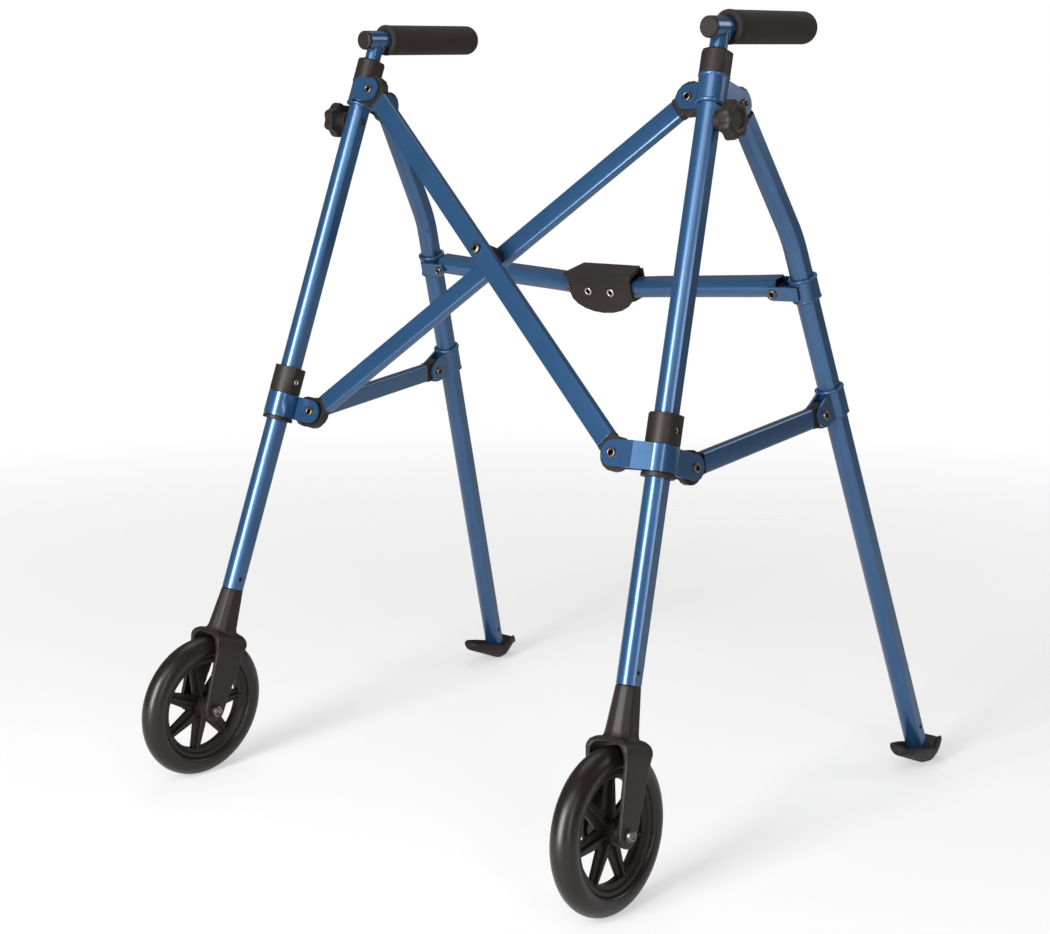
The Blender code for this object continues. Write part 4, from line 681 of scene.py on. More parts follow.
@dataclass
class Shells:
    """Every part whose solid has the right shape, with its edges rounded and its faces smoothed."""

    edge: float = 0.0005
    moulded_edge: float = 0.0009
    merge: float = 0.00001
    voxel: float = 0.0009
    smoothing: int = 7
    glide_smoothing: int = 26
    glide_round_from: float = 0.2920
    glide_rear: float = 0.3175
    glide_low: float = 0.0100
    glide_middle: float = 0.3068
    glide_half: float = 0.0190
    smooth_angle: float = 40.0

    def blue_nodes(self) -> list[str]:
        """Names of the painted parts.

        Returns:
            The names of their CAD nodes.
        """
        one_side = ("front_leg", "hub_bracket", "slider_bracket", "handle_post", "rear_leg", "cross_ring",
                    "brace_bracket", "side_brace", "half_bar")
        return [f"{tag}_{name}" for tag in TAGS.values() for name in one_side] + ["rear_bar", "front_bar"]

    def black_nodes(self) -> list[str]:
        """Names of the moulded parts.

        Returns:
            The names of their CAD nodes.
        """
        one_side = ("top_bushing", "stop_collar", "slider_liner", "handle_cap", "rear_leg_plug",
                    "brace_front_cap", "brace_rear_cap", "half_bar_plug")
        middle = ["latch", "rear_bar_top_cap", "rear_bar_low_cap", "front_bar_top_cap", "front_bar_low_cap",
                  "middle_spacer"]
        return [f"{tag}_{name}" for tag in TAGS.values() for name in one_side] + middle

    def soft_nodes(self) -> list[str]:
        """Names of the moulded parts with rounded forms all over.

        Returns:
            The names of their CAD nodes.
        """
        return [f"{tag}_{name}" for tag in TAGS.values() for name in ("fork", "glide")]

    def copy_of(self, node: str) -> Piece:
        """Copy of a solid with its points merged and its flat faces whole.

        Args:
            node: CAD node to copy.

        Returns:
            The copy, in place.
        """
        mesh = frame["nodes"][node].data.copy()
        piece = bpy.data.objects.new(node + "_shell", mesh)
        bpy.context.scene.collection.objects.link(piece)
        activate(piece)
        if mesh.has_custom_normals:
            bpy.ops.mesh.customdata_custom_splitnormals_clear()
        bpy.ops.object.mode_set(mode="EDIT")
        bpy.ops.mesh.select_all(action="SELECT")
        bpy.ops.mesh.remove_doubles(threshold=self.merge)
        bpy.ops.mesh.dissolve_limited(angle_limit=math.radians(1.0))
        bpy.ops.object.mode_set(mode="OBJECT")
        return piece

    def refined(self, node: str, width: float) -> Piece:
        """Copy of a solid with rounded edges.

        Args:
            node: CAD node to copy.
            width: Width of the rounding.

        Returns:
            The copy, in place.
        """
        piece = self.copy_of(node)
        rounded(piece, width, angle=self.smooth_angle + 2.0)
        return piece

    def softened(self, node: str, passes: int) -> Piece:
        """Copy of a solid with its facets melted into one moulded skin.

        Args:
            node: CAD node to copy.
            passes: How often the skin is smoothed.

        Returns:
            The copy, in place.
        """
        piece = self.copy_of(node)
        finished_modifier(piece, "REMESH", mode="VOXEL", voxel_size=self.voxel)
        finished_modifier(piece, "SMOOTH", factor=0.5, iterations=passes)
        finished_modifier(piece, "DECIMATE", ratio=0.3)
        return piece

    def round_heel(self, v: Vector) -> Vector:
        """Round the glide's rear rim off to its heel, and more towards its two corners.

        Args:
            v: Point of a glide.

        Returns:
            The point's new place.
        """
        back = max((v.y - self.glide_round_from) / (self.glide_rear - self.glide_round_from), 0.0)
        side = abs(abs(v.x) - self.glide_middle) / self.glide_half
        share = min(back * math.hypot(1.0, side), 1.0)
        above = max(v.z - self.glide_low, 0.0)
        return Vector((v.x, v.y, v.z - above * (1.0 - math.sqrt(1.0 - share * share))))

    def build(self, dresser: Dresser) -> None:
        """Round and dress the shells.

        Args:
            dresser: Gives each piece its finish and body.
        """
        for names, finish, width in ((self.blue_nodes(), "blue", self.edge),
                                     (self.black_nodes(), "black", self.moulded_edge)):
            for node in names:
                shell = self.refined(node, width)
                dresser.dress(shell, finish, frame["nodes"][node]["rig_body"], [node], self.smooth_angle)
                finished_modifier(shell, "WEIGHTED_NORMAL", keep_sharp=True)
        for node in self.soft_nodes():
            glide = node.endswith("glide")
            piece = self.softened(node, self.glide_smoothing if glide else self.smoothing)
            if glide:
                moved_points(piece, self.round_heel)
            dresser.dress(piece, "black", frame["nodes"][node]["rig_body"], [node], 60.0)


@dataclass
class Wheels:
    """Tyre, one-piece wheel and axle bolt of each front leg."""

    radius: float = 0.0762
    tyre_width: float = 0.0265
    tyre_depth: float = 0.0200
    rim_width: float = 0.0180
    rim_depth: float = 0.0088
    rim_web: float = 0.0088
    hub_radius: float = 0.0115
    hub_half: float = 0.0170
    axle_radius: float = 0.0040
    blade_outside: float = 0.0232
    spokes: int = 7
    spoke_web: float = 0.0045
    spoke_rib: float = 0.0110
    spoke_root: float = 0.0190
    spoke_tip: float = 0.0105
    right_turn: float = math.radians(33.2)
    left_turn: float = math.radians(11.3)
    steps: int = 112

    def matrix(self) -> Matrix:
        """Frame at the middle of the right wheel: z along the axle, outwards, and x level.

        Returns:
            The frame as a matrix.
        """
        axle = JOINTS.axis("right_wheel_spin")
        if axle.x < 0.0:
            axle = -axle
        level = Vector((0.0, 0.0, 1.0)).cross(axle).normalized()
        turn = Matrix((level, axle.cross(level), axle)).transposed().to_4x4()
        turn.translation = JOINTS.point("right_wheel_spin")
        return turn

    def tyre(self) -> Piece:
        """Tyre with a round tread, a mould line and a bead on each side.

        Returns:
            The tyre about Z.
        """
        half = self.tyre_width / 2.0
        seat = self.radius - self.tyre_depth
        middle = self.radius - half
        points: list[tuple[float, float]] = [(seat, -self.rim_width / 2.0), (seat + 0.0012, -half * 0.84),
                                             (seat + 0.0030, -half * 0.93), (seat + 0.0042, -half * 0.935)]
        for i in range(23):
            angle = -math.pi / 2.0 + math.pi * i / 22
            if i == 11:
                points.append((middle + half * math.cos(angle - 0.035), half * math.sin(angle - 0.035)))
                points.append((self.radius, 0.0))
                points.append((middle + half * math.cos(angle + 0.035), half * math.sin(angle + 0.035)))
            else:
                points.append((middle + half * 0.994 * math.cos(angle), half * math.sin(angle)))
        points += [(r, -z) for r, z in reversed(points[:4])]
        return lathe("tyre", points, self.steps, ring=True)

    def spoke(self) -> Piece:
        """Tapered spoke with a rib along each face.

        Returns:
            The spoke along X.
        """
        parts = []
        root = self.hub_radius - 0.002
        tip = self.radius - self.tyre_depth - self.rim_depth * 0.5
        for name, tall, wide, narrow in (("web", self.spoke_web, self.spoke_root, self.spoke_tip),
                                         ("rib", self.spoke_rib, 0.0036, 0.0026)):
            bpy.ops.object.select_all(action="DESELECT")
            bpy.ops.mesh.primitive_cube_add(size=1.0, location=((root + tip) / 2.0, 0.0, 0.0),
                                            scale=(tip - root, wide, tall))
            part = started(name)
            bpy.ops.object.transform_apply(location=True, rotation=True, scale=True)
            middle = (root + tip) / 2.0

            def taper(v: Vector, draw: float = narrow / wide, middle: float = middle) -> Vector:
                """Draw the outer end in.

                Args:
                    v: Point of the spoke.
                    draw: Width of the tip as a share of the root's.
                    middle: Where the spoke's halves meet.

                Returns:
                    The point's new place.
                """
                return Vector((v.x, v.y * (draw if v.x > middle else 1.0), v.z))

            moved_points(part, taper)
            rounded(part, 0.0009, 3)
            parts.append(part)
        return merged(parts, "spoke")

    def wheel(self, turned_by: float) -> Piece:
        """Rim, hub and spokes of one wheel.

        Args:
            turned_by: Angle of the first spoke from straight down.

        Returns:
            The wheel about Z.
        """
        outer = self.radius - self.tyre_depth - 0.0003
        inner = outer - self.rim_depth
        half = self.rim_width / 2.0
        web = self.rim_web / 2.0
        face = [(outer - 0.0035, half), (outer - 0.0045, half - 0.0012), (outer - 0.0052, web + 0.0016),
                (inner + 0.0010, web), (inner + 0.0002, web - 0.0004), (inner, web - 0.0013)]
        rim = lathe("rim", [(outer, -half), (outer, half)] + face + [(r, -z) for r, z in reversed(face)],
                    self.steps, ring=True)
        bore = self.axle_radius + 0.0003
        end = self.hub_half
        boss = [(self.hub_radius, end - 0.0052), (0.0094, end - 0.0042), (0.0090, end - 0.0006),
                (0.0082, end), (bore, end)]
        hub = lathe("hub", [(r, -z) for r, z in reversed(boss)] + boss, 48, ring=True)
        pattern = self.spoke()
        parts = [hub, rim]
        for i in range(self.spokes):
            angle = 2.0 * math.pi * i / self.spokes - math.pi / 2.0 - turned_by
            parts.append(placed(copied(pattern, f"spoke_{i}"), Matrix.Rotation(angle, 4, "Z")))
        removed(pattern)
        return merged(parts, "wheel")

    def bolt(self) -> Piece:
        """Axle bolt with a domed head inside and a domed nut outside.

        Returns:
            The bolt along Z.
        """
        out = self.blade_outside + 0.0003
        r = self.axle_radius
        return lathe("bolt", [(0.0022, -out - 0.0034), (0.0030, -out - 0.0044), (0.0046, -out - 0.0049),
                              (0.0058, -out - 0.0040), (0.0062, -out - 0.0022), (0.0062, -out), (r, -out),
                              (r, out), (0.0062, out), (0.0062, out + 0.0006), (0.0056, out + 0.0008),
                              (0.0055, out + 0.0028), (0.0046, out + 0.0040), (0.0030, out + 0.0043),
                              (0.0024, out + 0.0034)], 36)

    def build(self, dresser: Dresser) -> None:
        """Build both wheels.

        Args:
            dresser: Gives each piece its finish and body.
        """
        for side, turned_by in ((1, self.right_turn), (-1, self.left_turn)):
            tag = TAGS[side]
            place = mirrored(self.matrix(), side)
            pieces = (("tyre", "tread", "wheel", self.tyre()),
                      ("wheel", "black", "wheel", self.wheel(turned_by)),
                      ("axle_bolt", "rivet", "front_leg", self.bolt()))
            for node, finish, carrier, piece in pieces:
                placed(piece, place).name = f"{tag}_{node}_dressed"
                dresser.dress(piece, finish, f"{tag}_{carrier}", [f"{tag}_{node}"])


@dataclass
class Handles:
    """Foam grip and clamp knob of each handle."""

    above_hub: float = 0.0615
    tilt: float = math.radians(1.8)
    tube_radius: float = 0.0102
    stem_radius: float = 0.0085
    grip_start: float = 0.0105
    grip_length: float = 0.1425
    grip_radius: float = 0.0163
    grip_edge: float = 0.0018
    lip_height: float = 0.0004
    lip_length: float = 0.0040
    handle_rear: float = 0.1403
    knob_radius: float = 0.0188
    knob_valley: float = 0.0030
    knob_lobes: int = 7
    knob_boss: float = 0.0090
    knob_boss_length: float = 0.0105
    knob_thickness: float = 0.0130
    leg_flat: float = 0.0102

    def axis(self) -> Matrix:
        """Frame whose z axis runs back along the right handle's tube.

        Returns:
            The frame in the walker's frame.
        """
        start = LEG.matrix() @ Vector((0.0, 0.0, self.above_hub))
        back = Vector((0.0, math.cos(self.tilt), math.sin(self.tilt)))
        side = Vector((1.0, 0.0, 0.0))
        turn = Matrix((side, back.cross(side), back)).transposed().to_4x4()
        turn.translation = start
        return turn

    def grip(self) -> Piece:
        """Foam grip with a rolled front edge and a round nose.

        Returns:
            The grip along Z.
        """
        end = self.grip_start + self.grip_length
        bore = self.tube_radius + 0.0003
        r = self.grip_radius
        nose = r * 0.62
        body = r - self.lip_height
        start, edge = self.grip_start, self.grip_edge
        points: list[tuple[float, float]] = [(bore, start + 0.0008), (bore + 0.0006, start)]
        for i in range(7):
            angle = math.pi / 2.0 * i / 6
            points.append((r - edge * (1.0 - math.sin(angle)), start + edge * (1.0 - math.cos(angle))))
        lip = start + self.lip_length
        points += [(r, lip - 0.0006), (r - 0.0002, lip), (body - 0.0004, lip + 0.0007),
                   (body - 0.0002, lip + 0.0014)]
        for i in range(1, 26):
            points.append((body, lip + 0.0014 + (end - nose - lip - 0.0014) * i / 26))
        for i in range(12):
            angle = math.pi / 2.0 * i / 12
            points.append((body - nose * (1.0 - math.cos(angle)), end - nose * (1.0 - math.sin(angle))))
        points += [(body - nose + 0.0002, end), (0.0030, end), (0.0008, end), (0.0006, self.handle_rear),
                   (bore, self.handle_rear)]
        return lathe("grip", points, 64, ring=True)

    def knob(self) -> Piece:
        """Lobed clamp knob with a turned boss and a shallow dish on top.

        Returns:
            The knob along Z, on the leg's axis.
        """
        seat = self.leg_flat + 0.0003
        low = seat + self.knob_boss_length
        high = low + self.knob_thickness
        r = self.knob_radius
        b = self.knob_boss
        knob = lathe("knob", [(0.0030, self.stem_radius + 0.0003), (0.0030, seat), (b - 0.0006, seat),
                              (b, seat + 0.0006), (b, low - 0.0006), (b + 0.0010, low), (r - 0.0014, low),
                              (r - 0.0004, low + 0.0004), (r, low + 0.0014), (r, low + 0.0050),
                              (r, high - 0.0046), (r - 0.0003, high - 0.0030), (r - 0.0011, high - 0.0014),
                              (r - 0.0026, high - 0.0003), (r * 0.76, high), (r * 0.50, high),
                              (r * 0.45, high - 0.0006), (r * 0.43, high - 0.0016),
                              (0.0010, high - 0.0016)], 84)
        start = b + 0.0012

        def lobed(v: Vector) -> Vector:
            """Draw the valleys between the lobes in.

            Args:
                v: Point of the knob.

            Returns:
                The point's new place.
            """
            radius = math.hypot(v.x, v.y)
            if radius < start or v.z < low - 0.0001:
                return v
            angle = math.atan2(v.y, v.x)
            dip = self.knob_valley * 0.5 * (1.0 - math.cos(self.knob_lobes * angle))
            share = (radius - start) / (r - start)
            scale = (radius - dip * share) / radius
            return Vector((v.x * scale, v.y * scale, v.z))

        moved_points(knob, lobed)
        return knob

    def build(self, dresser: Dresser) -> None:
        """Build both handles' pieces.

        Args:
            dresser: Gives each piece its finish and body.
        """
        outwards_axis = LEG.matrix().to_3x3() @ Vector((1.0, 0.0, 0.0))
        knob_place = pointing(JOINTS.point("right_knob_turn"), outwards_axis)
        for side, tag in TAGS.items():
            grip = placed(self.grip(), mirrored(self.axis(), side))
            grip.name = tag + "_grip_dressed"
            dresser.dress(grip, "foam", tag + "_handle", [tag + "_grip"])
            knob = placed(self.knob(), mirrored(knob_place, side))
            knob.name = tag + "_knob_dressed"
            dresser.dress(knob, "black", tag + "_knob", [tag + "_star_knob"])


@dataclass
class Fasteners:
    """Tubular rivets at the pivots, screws in the plastic, cross pins and the middle bolt."""

    lane: float = 0.0165
    ear_face: float = 0.0083
    bar_reach: float = 0.0325
    side_reach: float = 0.0395
    slider_step: float = 0.0042
    pivot_drop: float = 0.3449
    ring_face: float = 0.0151
    latch_face: float = 0.0144
    head_radius: float = 0.00475
    rim_height: float = 0.0024
    floor_height: float = 0.0017
    fork_pin_drop: float = 0.5375
    plug_drop: float = 0.0295
    collar_above: float = 0.0265
    foot_pin_drop: float = 0.5690
    bar_rivet_x: float = 0.0456
    fork_pin_back: float = -0.0020
    foot_pin_back: float = 0.0010
    collar_screw_back: float = -0.0015
    ray_start: float = 0.05
    bolt_edge: float = 0.0006
    bolt_head_radius: float = 0.0051

    def rivet(self) -> Piece:
        """Head of a tubular rivet with a rolled rim.

        Returns:
            The head, standing on the face at z = 0.
        """
        r = self.head_radius
        h = self.rim_height
        head = lathe("rivet", [(r, -0.0004), (r, h - 0.0011), (r - 0.0002, h - 0.0005),
                               (r - 0.0007, h - 0.0001), (r - 0.0013, h), (r - 0.0019, h - 0.0002),
                               (r - 0.0023, self.floor_height), (0.0008, self.floor_height)], 32)
        # The hollow inside the rolled rim gets painted shade.
        return shade_marked(head, r - 0.0021)

    def small_rivet(self) -> Piece:
        """Small head with a dished top.

        Returns:
            The head, standing on the face at z = 0.
        """
        head = lathe("small_rivet", [(0.0029, -0.0006), (0.0029, 0.0005), (0.0026, 0.0009), (0.0020, 0.0011),
                                     (0.0014, 0.0010), (0.0011, 0.0005), (0.0004, 0.0004)], 28)
        # The dished middle gets painted shade.
        return shade_marked(head, 0.0012)

    def pin(self) -> Piece:
        """Flush end of a cross pin, dark all over with the painted recess shade.

        Returns:
            The end, standing on the face at z = 0.
        """
        head = lathe("pin", [(0.0021, -0.0006), (0.0021, 0.0001), (0.0018, 0.0004), (0.0009, 0.0005)], 24)
        # The recess mark covers the whole end, so all of it takes the painted shade.
        return shade_marked(head, 0.0025)

    def plug(self) -> Piece:
        """Dished plastic plug in the hole opposite the clamp knob.

        Returns:
            The plug, standing on the face at z = 0.
        """
        return lathe("plug", [(0.0036, -0.0006), (0.0036, 0.0004), (0.0032, 0.0009), (0.0026, 0.0008),
                              (0.0022, 0.0003), (0.0006, 0.0002)], 32)

    def places(self, side: int) -> list[tuple[str, Matrix]]:
        """Bodies and places of the rivet heads on one side.

        Args:
            side: 1 for the right side, -1 for the left.

        Returns:
            Pairs of body and place; a mirror image on the left.
        """
        tag = TAGS[side]
        leg = LEG.matrix()
        toed = leg @ Matrix.Rotation(-LEG.toe, 4, "Z")
        result: list[tuple[str, Matrix]] = []
        drops = ((f"{tag}_front_leg", 0.0, 0.0, side),
                 (f"{tag}_slider", self.pivot_drop, self.slider_step, -side))
        for body, drop, step, sign in drops:
            reach = self.bar_reach + step
            for face, way in ((sign * (self.lane + self.ear_face), sign),
                              (sign * (self.lane - self.ear_face), -sign)):
                point = leg @ Vector((-reach, face, -drop))
                result.append((body, pointing(point, leg.to_3x3() @ Vector((0.0, way, 0.0)))))
            for way in (1.0, -1.0):
                point = toed @ Vector((way * self.ear_face, self.side_reach + step, -drop))
                result.append((body, pointing(point, toed.to_3x3() @ Vector((way, 0.0, 0.0)))))
        for joint, face in (("right_brace_pivot", self.ear_face), ("right_ring_pivot", self.ring_face)):
            for way in (1.0, -1.0):
                axis = JOINTS.axis(joint) * way
                result.append((f"{tag}_rear_leg", pointing(JOINTS.point(joint) + axis * face, axis)))
        return [(body, mirrored(place, side)) for body, place in result]

    def small_places(self) -> list[tuple[str, str, str, Matrix]]:
        """Small fasteners of the right side.

        Returns:
            Pattern, finish, body and place of each.
        """
        leg = LEG.matrix()
        rear = LEG.rear()
        found: list[tuple[str, str, str, Matrix]] = []
        for way in (1.0, -1.0):
            out = leg.to_3x3() @ Vector((way, 0.0, 0.0))
            rear_out = rear.to_3x3() @ Vector((way, 0.0, 0.0))
            fork_pin = leg @ Vector((0.0, self.fork_pin_back, -self.fork_pin_drop)) + out * self.ray_start
            found.append(("pin", "rivet", "front_leg", landed("right_front_leg", fork_pin, -out)))
            foot = Vector((0.0, self.foot_pin_back, -self.foot_pin_drop))
            foot_pin = rear @ foot + rear_out * self.ray_start
            found.append(("pin", "rivet", "rear_leg", landed("right_rear_leg", foot_pin, -rear_out)))
            screw = Vector((0.0, self.collar_screw_back, self.collar_above - self.pivot_drop))
            collar = leg @ screw + out * self.ray_start
            found.append(("small", "steel", "front_leg", landed("right_stop_collar", collar, -out)))
        inner = leg.to_3x3() @ Vector((-1.0, 0.0, 0.0))
        hole = leg @ Vector((0.0, 0.0, -self.plug_drop)) + inner * self.ray_start
        found.append(("plug", "black", "front_leg", landed("right_front_leg", hole, -inner)))
        fold = JOINTS.axis("fold")
        bar = JOINTS.point("fold") + Vector((self.bar_rivet_x - JOINTS.point("fold").x, 0.0, 0.0))
        for way in (1.0, -1.0):
            place = landed("right_half_bar", bar + fold * way * self.ray_start, -fold * way)
            found.append(("small", "rivet", "half_bar", place))
        return found

    def bolt_head(self) -> Piece:
        """Domed head of the middle bolt with a socket in it.

        Returns:
            The head, standing on the solid's head at z = 0.
        """
        head = lathe("middle_head", [(0.0053, -0.0024), (0.0053, -0.0006), (0.0050, 0.0002),
                                     (0.0042, 0.0007), (0.0030, 0.0009), (0.0026, 0.0008),
                                     (0.0022, 0.0002), (0.0006, 0.0001)], 36)
        # The socket gets painted shade.
        return shade_marked(head, 0.0024)

    def build(self, dresser: Dresser) -> None:
        """Put a head on every pivot, pin and screw.

        Args:
            dresser: Gives each piece its finish and body.
        """
        patterns = {"rivet": self.rivet(), "small": self.small_rivet(), "pin": self.pin(),
                    "plug": self.plug()}
        for side, tag in TAGS.items():
            for index, (body, place) in enumerate(self.places(side)):
                head = placed(copied(patterns["rivet"], f"{tag}_rivet_{index + 1:02d}"), place)
                dresser.dress(head, "rivet", body)
            for index, (kind, finish, carrier, place) in enumerate(self.small_places()):
                head = placed(copied(patterns[kind], f"{tag}_{kind}_{index + 1:02d}"), mirrored(place, side))
                dresser.dress(head, finish, f"{tag}_{carrier}")
            for way in (1.0, -1.0):
                axis = JOINTS.axis("fold") * way
                place = mirrored(pointing(JOINTS.point("fold") + axis * self.latch_face, axis), side)
                end = "front" if way < 0 else "rear"
                screw = placed(copied(patterns["rivet"], f"{tag}_latch_screw_{end}"), place)
                dresser.dress(screw, "steel", "latch")
        for pattern in patterns.values():
            removed(pattern)
        shells = Shells()
        for node in ("middle_bolt", "middle_nut"):
            shell = shells.refined(node, self.bolt_edge)
            dresser.dress(shell, "rivet", frame["nodes"][node]["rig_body"], [node])
        low, high = (Vector(corner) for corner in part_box("middle_bolt"))
        axis = JOINTS.axis("fold")
        middle = Vector((0.0, low.y, high.z)) - axis * self.ray_start
        seat = landed("middle_bolt", Vector((0.0, middle.y, middle.z)) + self.bolt_offset(axis), axis)
        dresser.dress(placed(self.bolt_head(), seat), "rivet", frame["nodes"]["middle_bolt"]["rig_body"])

    def bolt_offset(self, axis: Vector) -> Vector:
        """Step from the corner of the middle bolt's box to its axis, across the axis.

        Args:
            axis: Direction of the bolt.

        Returns:
            The step.
        """
        across = Vector((1.0, 0.0, 0.0)).cross(axis).normalized()
        return across * (-self.bolt_head_radius if across.z > 0.0 else self.bolt_head_radius)


@dataclass
class Welds:
    """Weld beads round the sleeves and between stem and handle tube."""

    leg_round: float = 0.0116
    leg_flat: float = 0.0102
    bead: float = 0.0022
    ripples: int = 32
    hub_top: float = 0.0132
    hub_low: float = -0.0115
    ring_drop: float = 0.0535
    ring_height: float = 0.0215
    bracket_drop: float = 0.1765
    bracket_height: float = 0.0285
    stem_radius: float = 0.0085
    tube_radius: float = 0.0102
    handle_above: float = 0.0615
    sleeve_wall: float = 0.0014

    def torus(self, name: str, radius: float, bead: float) -> Piece:
        """Plain ring that a bead is shaped from.

        Args:
            name: Name of the bead.
            radius: Radius of its middle line.
            bead: Radius of its section.

        Returns:
            The ring about Z.
        """
        bpy.ops.object.select_all(action="DESELECT")
        bpy.ops.mesh.primitive_torus_add(major_radius=radius, minor_radius=bead,
                                         major_segments=160, minor_segments=12)
        return started(name)

    def bead_ring(self, name: str, bead: float) -> Piece:
        """Rippled bead round a leg tube.

        Args:
            name: Name of the bead.
            bead: Radius of its section.

        Returns:
            The bead about Z.
        """
        base = self.leg_round + self.sleeve_wall
        flat = self.leg_flat + self.sleeve_wall
        ring = self.torus(name, base, bead)

        def shaped(v: Vector) -> Vector:
            """Follow the tube's flats and raise the ripples.

            Args:
                v: Point of the ring.

            Returns:
                The point's new place.
            """
            angle = math.atan2(v.y, v.x)
            swell = 0.62 + 0.38 * abs(math.sin(self.ripples * angle / 2.0 + 2.0 * v.z / bead))
            radius = min(base, flat / max(abs(math.cos(angle)), 1e-6)) + (math.hypot(v.x, v.y) - base) * swell
            return Vector((radius * math.cos(angle), radius * math.sin(angle), v.z * swell))

        moved_points(ring, shaped)
        return ring

    def saddle(self, name: str) -> Piece:
        """Rippled bead where the stem meets the handle's tube.

        Args:
            name: Name of the bead.

        Returns:
            The bead about the stem's axis, at the height of the tube's axis.
        """
        bead = self.bead * 0.75
        ring = self.torus(name, self.stem_radius, bead)

        def shaped(v: Vector) -> Vector:
            """Lift the ring's sides along the tube's underside.

            Args:
                v: Point of the ring.

            Returns:
                The point's new place.
            """
            angle = math.atan2(v.y, v.x)
            across = self.stem_radius * math.cos(angle)
            swell = 0.74 + 0.26 * abs(math.sin(11.0 * angle + 2.0 * v.z / bead))
            radius = self.stem_radius + (math.hypot(v.x, v.y) - self.stem_radius) * swell
            drop = math.sqrt(self.tube_radius ** 2 - across ** 2)
            return Vector((radius * math.cos(angle), radius * math.sin(angle), v.z * swell - drop))

        moved_points(ring, shaped)
        return ring

    def build(self, dresser: Dresser) -> None:
        """Lay the beads.

        Args:
            dresser: Gives each piece its finish and body.
        """
        leg, rear = LEG.matrix(), LEG.rear()
        half_ring, half_bracket = self.ring_height / 2.0, self.bracket_height / 2.0
        beads = (("hub_top", leg, self.hub_top, self.bead, "front_leg"),
                 ("hub_low", leg, self.hub_low, self.bead, "front_leg"),
                 ("ring_top", rear, half_ring - self.ring_drop, self.bead, "rear_leg"),
                 ("ring_low", rear, -half_ring - self.ring_drop, self.bead * 0.8, "rear_leg"),
                 ("bracket_top", rear, half_bracket - self.bracket_drop, self.bead, "rear_leg"),
                 ("bracket_low", rear, -half_bracket - self.bracket_drop, self.bead * 0.7, "rear_leg"))
        for side, tag in TAGS.items():
            for name, place, height, bead, carrier in beads:
                ring = self.bead_ring(f"{tag}_{name}_bead", bead)
                placed(ring, mirrored(place @ Matrix.Translation((0.0, 0.0, height)), side))
                dresser.dress(ring, "blue", f"{tag}_{carrier}", smooth=70.0)
            saddle = self.saddle(f"{tag}_handle_bead")
            placed(saddle, mirrored(leg @ Matrix.Translation((0.0, 0.0, self.handle_above)), side))
            dresser.dress(saddle, "blue", f"{tag}_handle", smooth=70.0)


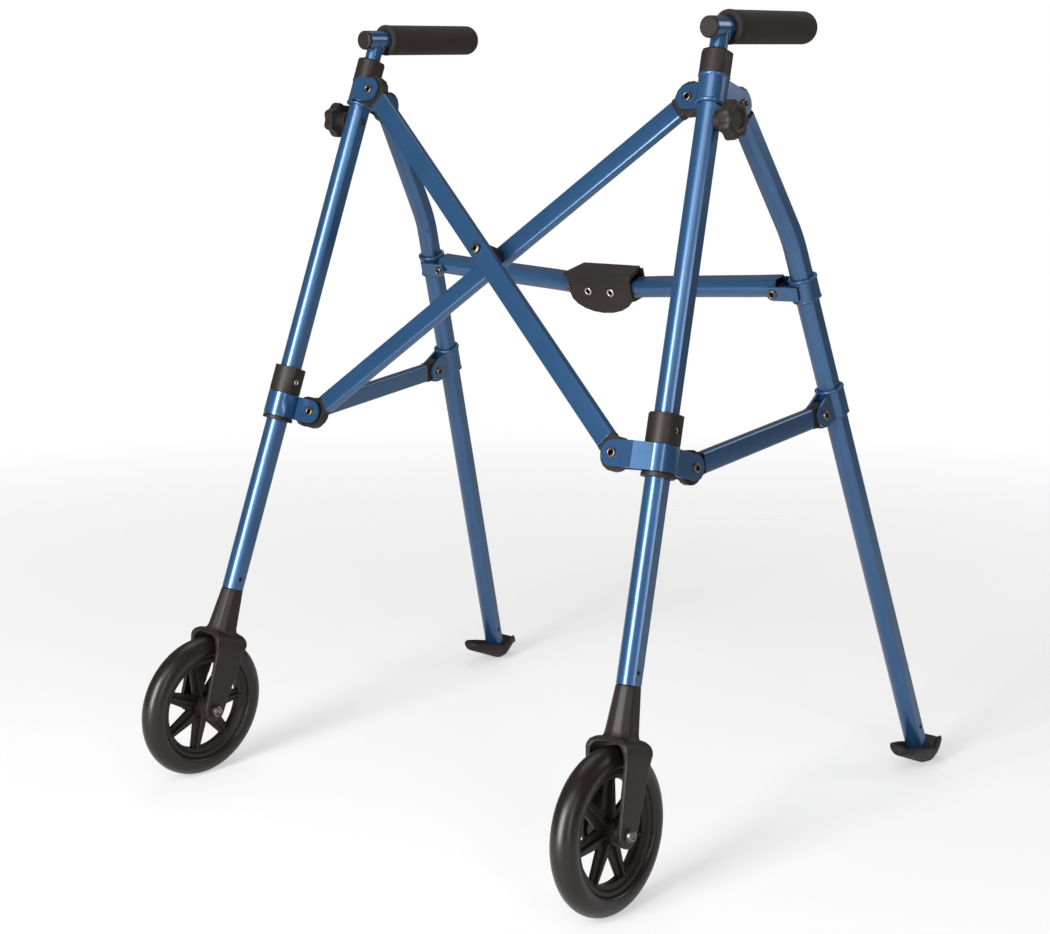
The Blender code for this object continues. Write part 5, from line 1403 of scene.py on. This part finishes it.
@dataclass
class Studio:
    """Floor, lamps, world and camera."""

    eye: tuple[float, float, float] = (1.16957458, -1.43505400, 0.69146565)
    yaw: float = -0.69266049
    pitch: float = -0.19074406
    focal_pixels: float = 1792.279
    image_width: float = 1050.0
    sensor: float = 36.0
    floor_fade: tuple[float, float, float, float] = (0.7, 2.2, 0.5, 1.0)
    floor_size: float = 14.0
    floor_drop: float = 0.0003
    floor_tone: float = 0.88
    light_of_world: float = 0.17
    lamp_aim: tuple[float, float, float] = (0.0, 0.0, 0.4)

    def camera(self) -> None:
        """Stand the camera at the photograph's viewing angle."""
        data = bpy.data.cameras.new("camera")
        data.sensor_fit = "HORIZONTAL"
        data.sensor_width = self.sensor
        data.lens = self.focal_pixels / self.image_width * self.sensor
        camera = bpy.data.objects.new("camera", data)
        camera.location = self.eye
        camera.rotation_euler = Euler((math.pi / 2.0 + self.pitch, 0.0, -self.yaw))
        bpy.context.scene.collection.objects.link(camera)
        bpy.context.scene.camera = camera

    def floor(self) -> None:
        """Pale floor that keeps the walker's shadow, half clear so that feet folded below it show."""
        bpy.ops.object.select_all(action="DESELECT")
        bpy.ops.mesh.primitive_plane_add(size=self.floor_size, location=(0.0, 0.0, -self.floor_drop))
        floor = started("floor")
        bpy.ops.object.transform_apply(location=True, rotation=True, scale=True)
        material = bpy.data.materials.new("pale_floor")
        material.use_nodes = True
        tree = material.node_tree
        shader = tree.nodes["Principled BSDF"]
        shader.inputs["Base Color"].default_value = (*[self.floor_tone] * 3, 1.0)
        shader.inputs["Roughness"].default_value = 0.75
        clear = tree.nodes.new("ShaderNodeBsdfTransparent")
        mix = tree.nodes.new("ShaderNodeMixShader")
        tree.links.new(self.clear_share(tree), mix.inputs[0])
        tree.links.new(shader.outputs[0], mix.inputs[1])
        tree.links.new(clear.outputs[0], mix.inputs[2])
        tree.links.new(mix.outputs[0], tree.nodes["Material Output"].inputs["Surface"])
        floor.data.materials.append(material)

    def clear_share(self, tree: Tree) -> Socket:
        """How clear the floor is: half for the camera, and whole for rays to the lamps.

        The white behind it shows through, and so do feet that fold below it.

        Args:
            tree: The material's nodes.

        Returns:
            Socket with the share.
        """
        place = tree.nodes.new("ShaderNodeTexCoord").outputs["Object"]
        length = tree.nodes.new("ShaderNodeVectorMath")
        length.operation = "LENGTH"
        tree.links.new(place, length.inputs[0])
        fade = tree.nodes.new("ShaderNodeMapRange")
        for name, value in zip(("From Min", "From Max", "To Min", "To Max"), self.floor_fade):
            fade.inputs[name].default_value = value
        tree.links.new(length.outputs["Value"], fade.inputs["Value"])
        path = tree.nodes.new("ShaderNodeLightPath")
        seen = maths(tree, "MULTIPLY", path.outputs["Is Camera Ray"], fade.outputs["Result"])
        return maths(tree, "MAXIMUM", seen, path.outputs["Is Shadow Ray"])

    def world(self) -> None:
        """White surroundings for the camera, softer as a light and in reflections."""
        world = bpy.data.worlds.new("studio")
        bpy.context.scene.world = world
        world.use_nodes = True
        tree = world.node_tree
        tree.nodes.clear()
        path = tree.nodes.new("ShaderNodeLightPath")
        mix = tree.nodes.new("ShaderNodeMixShader")
        out = tree.nodes.new("ShaderNodeOutputWorld")
        tree.links.new(path.outputs["Is Camera Ray"], mix.inputs[0])
        for index, strength in ((1, self.light_of_world), (2, 1.0)):
            glow = tree.nodes.new("ShaderNodeBackground")
            glow.inputs["Color"].default_value = (1.0, 1.0, 1.0, 1.0)
            glow.inputs["Strength"].default_value = strength
            tree.links.new(glow.outputs[0], mix.inputs[index])
        tree.links.new(mix.outputs[0], out.inputs["Surface"])

    def lamp(self, name: str, place: tuple[float, float, float], size: tuple[float, float],
             power: float) -> None:
        """Soft rectangular lamp that faces the walker.

        Args:
            name: Name of the lamp.
            place: Where it stands.
            size: Its width and height.
            power: Its power in watts.
        """
        data = bpy.data.lights.new(name, "AREA")
        data.shape = "RECTANGLE"
        data.size, data.size_y = size
        data.energy = power
        lamp = bpy.data.objects.new(name, data)
        lamp.matrix_world = pointing(Vector(place), Vector(place) - Vector(self.lamp_aim))
        bpy.context.scene.collection.objects.link(lamp)

    def build(self) -> None:
        """Set the studio up."""
        self.camera()
        self.floor()
        self.world()
        self.lamp("front_strip", (0.10, -2.75, 1.0), (0.85, 1.9), 135.0)
        self.lamp("right_strip", (2.35, -1.45, 1.0), (0.4, 1.7), 16.0)
        self.lamp("softbox", (0.9, -2.3, 2.5), (1.8, 1.2), 24.0)
        self.lamp("top", (-0.6, 0.6, 2.8), (1.6, 1.6), 16.0)
        self.lamp("back", (1.9, 2.4, 1.7), (1.4, 1.2), 18.0)
        bpy.context.scene.view_settings.view_transform = "Standard"


def main() -> None:
    """Build the walker's pieces in order."""
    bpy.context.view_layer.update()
    dresser = Dresser(FinishSet())
    Studio().build()
    for part in (Shells(), Wheels(), Handles(), Fasteners(), Welds()):
        part.build(dresser)
        LOG.info("%s is done", type(part).__name__)


if __name__ == "__main__":
    logging.basicConfig(level=logging.INFO)
    main()
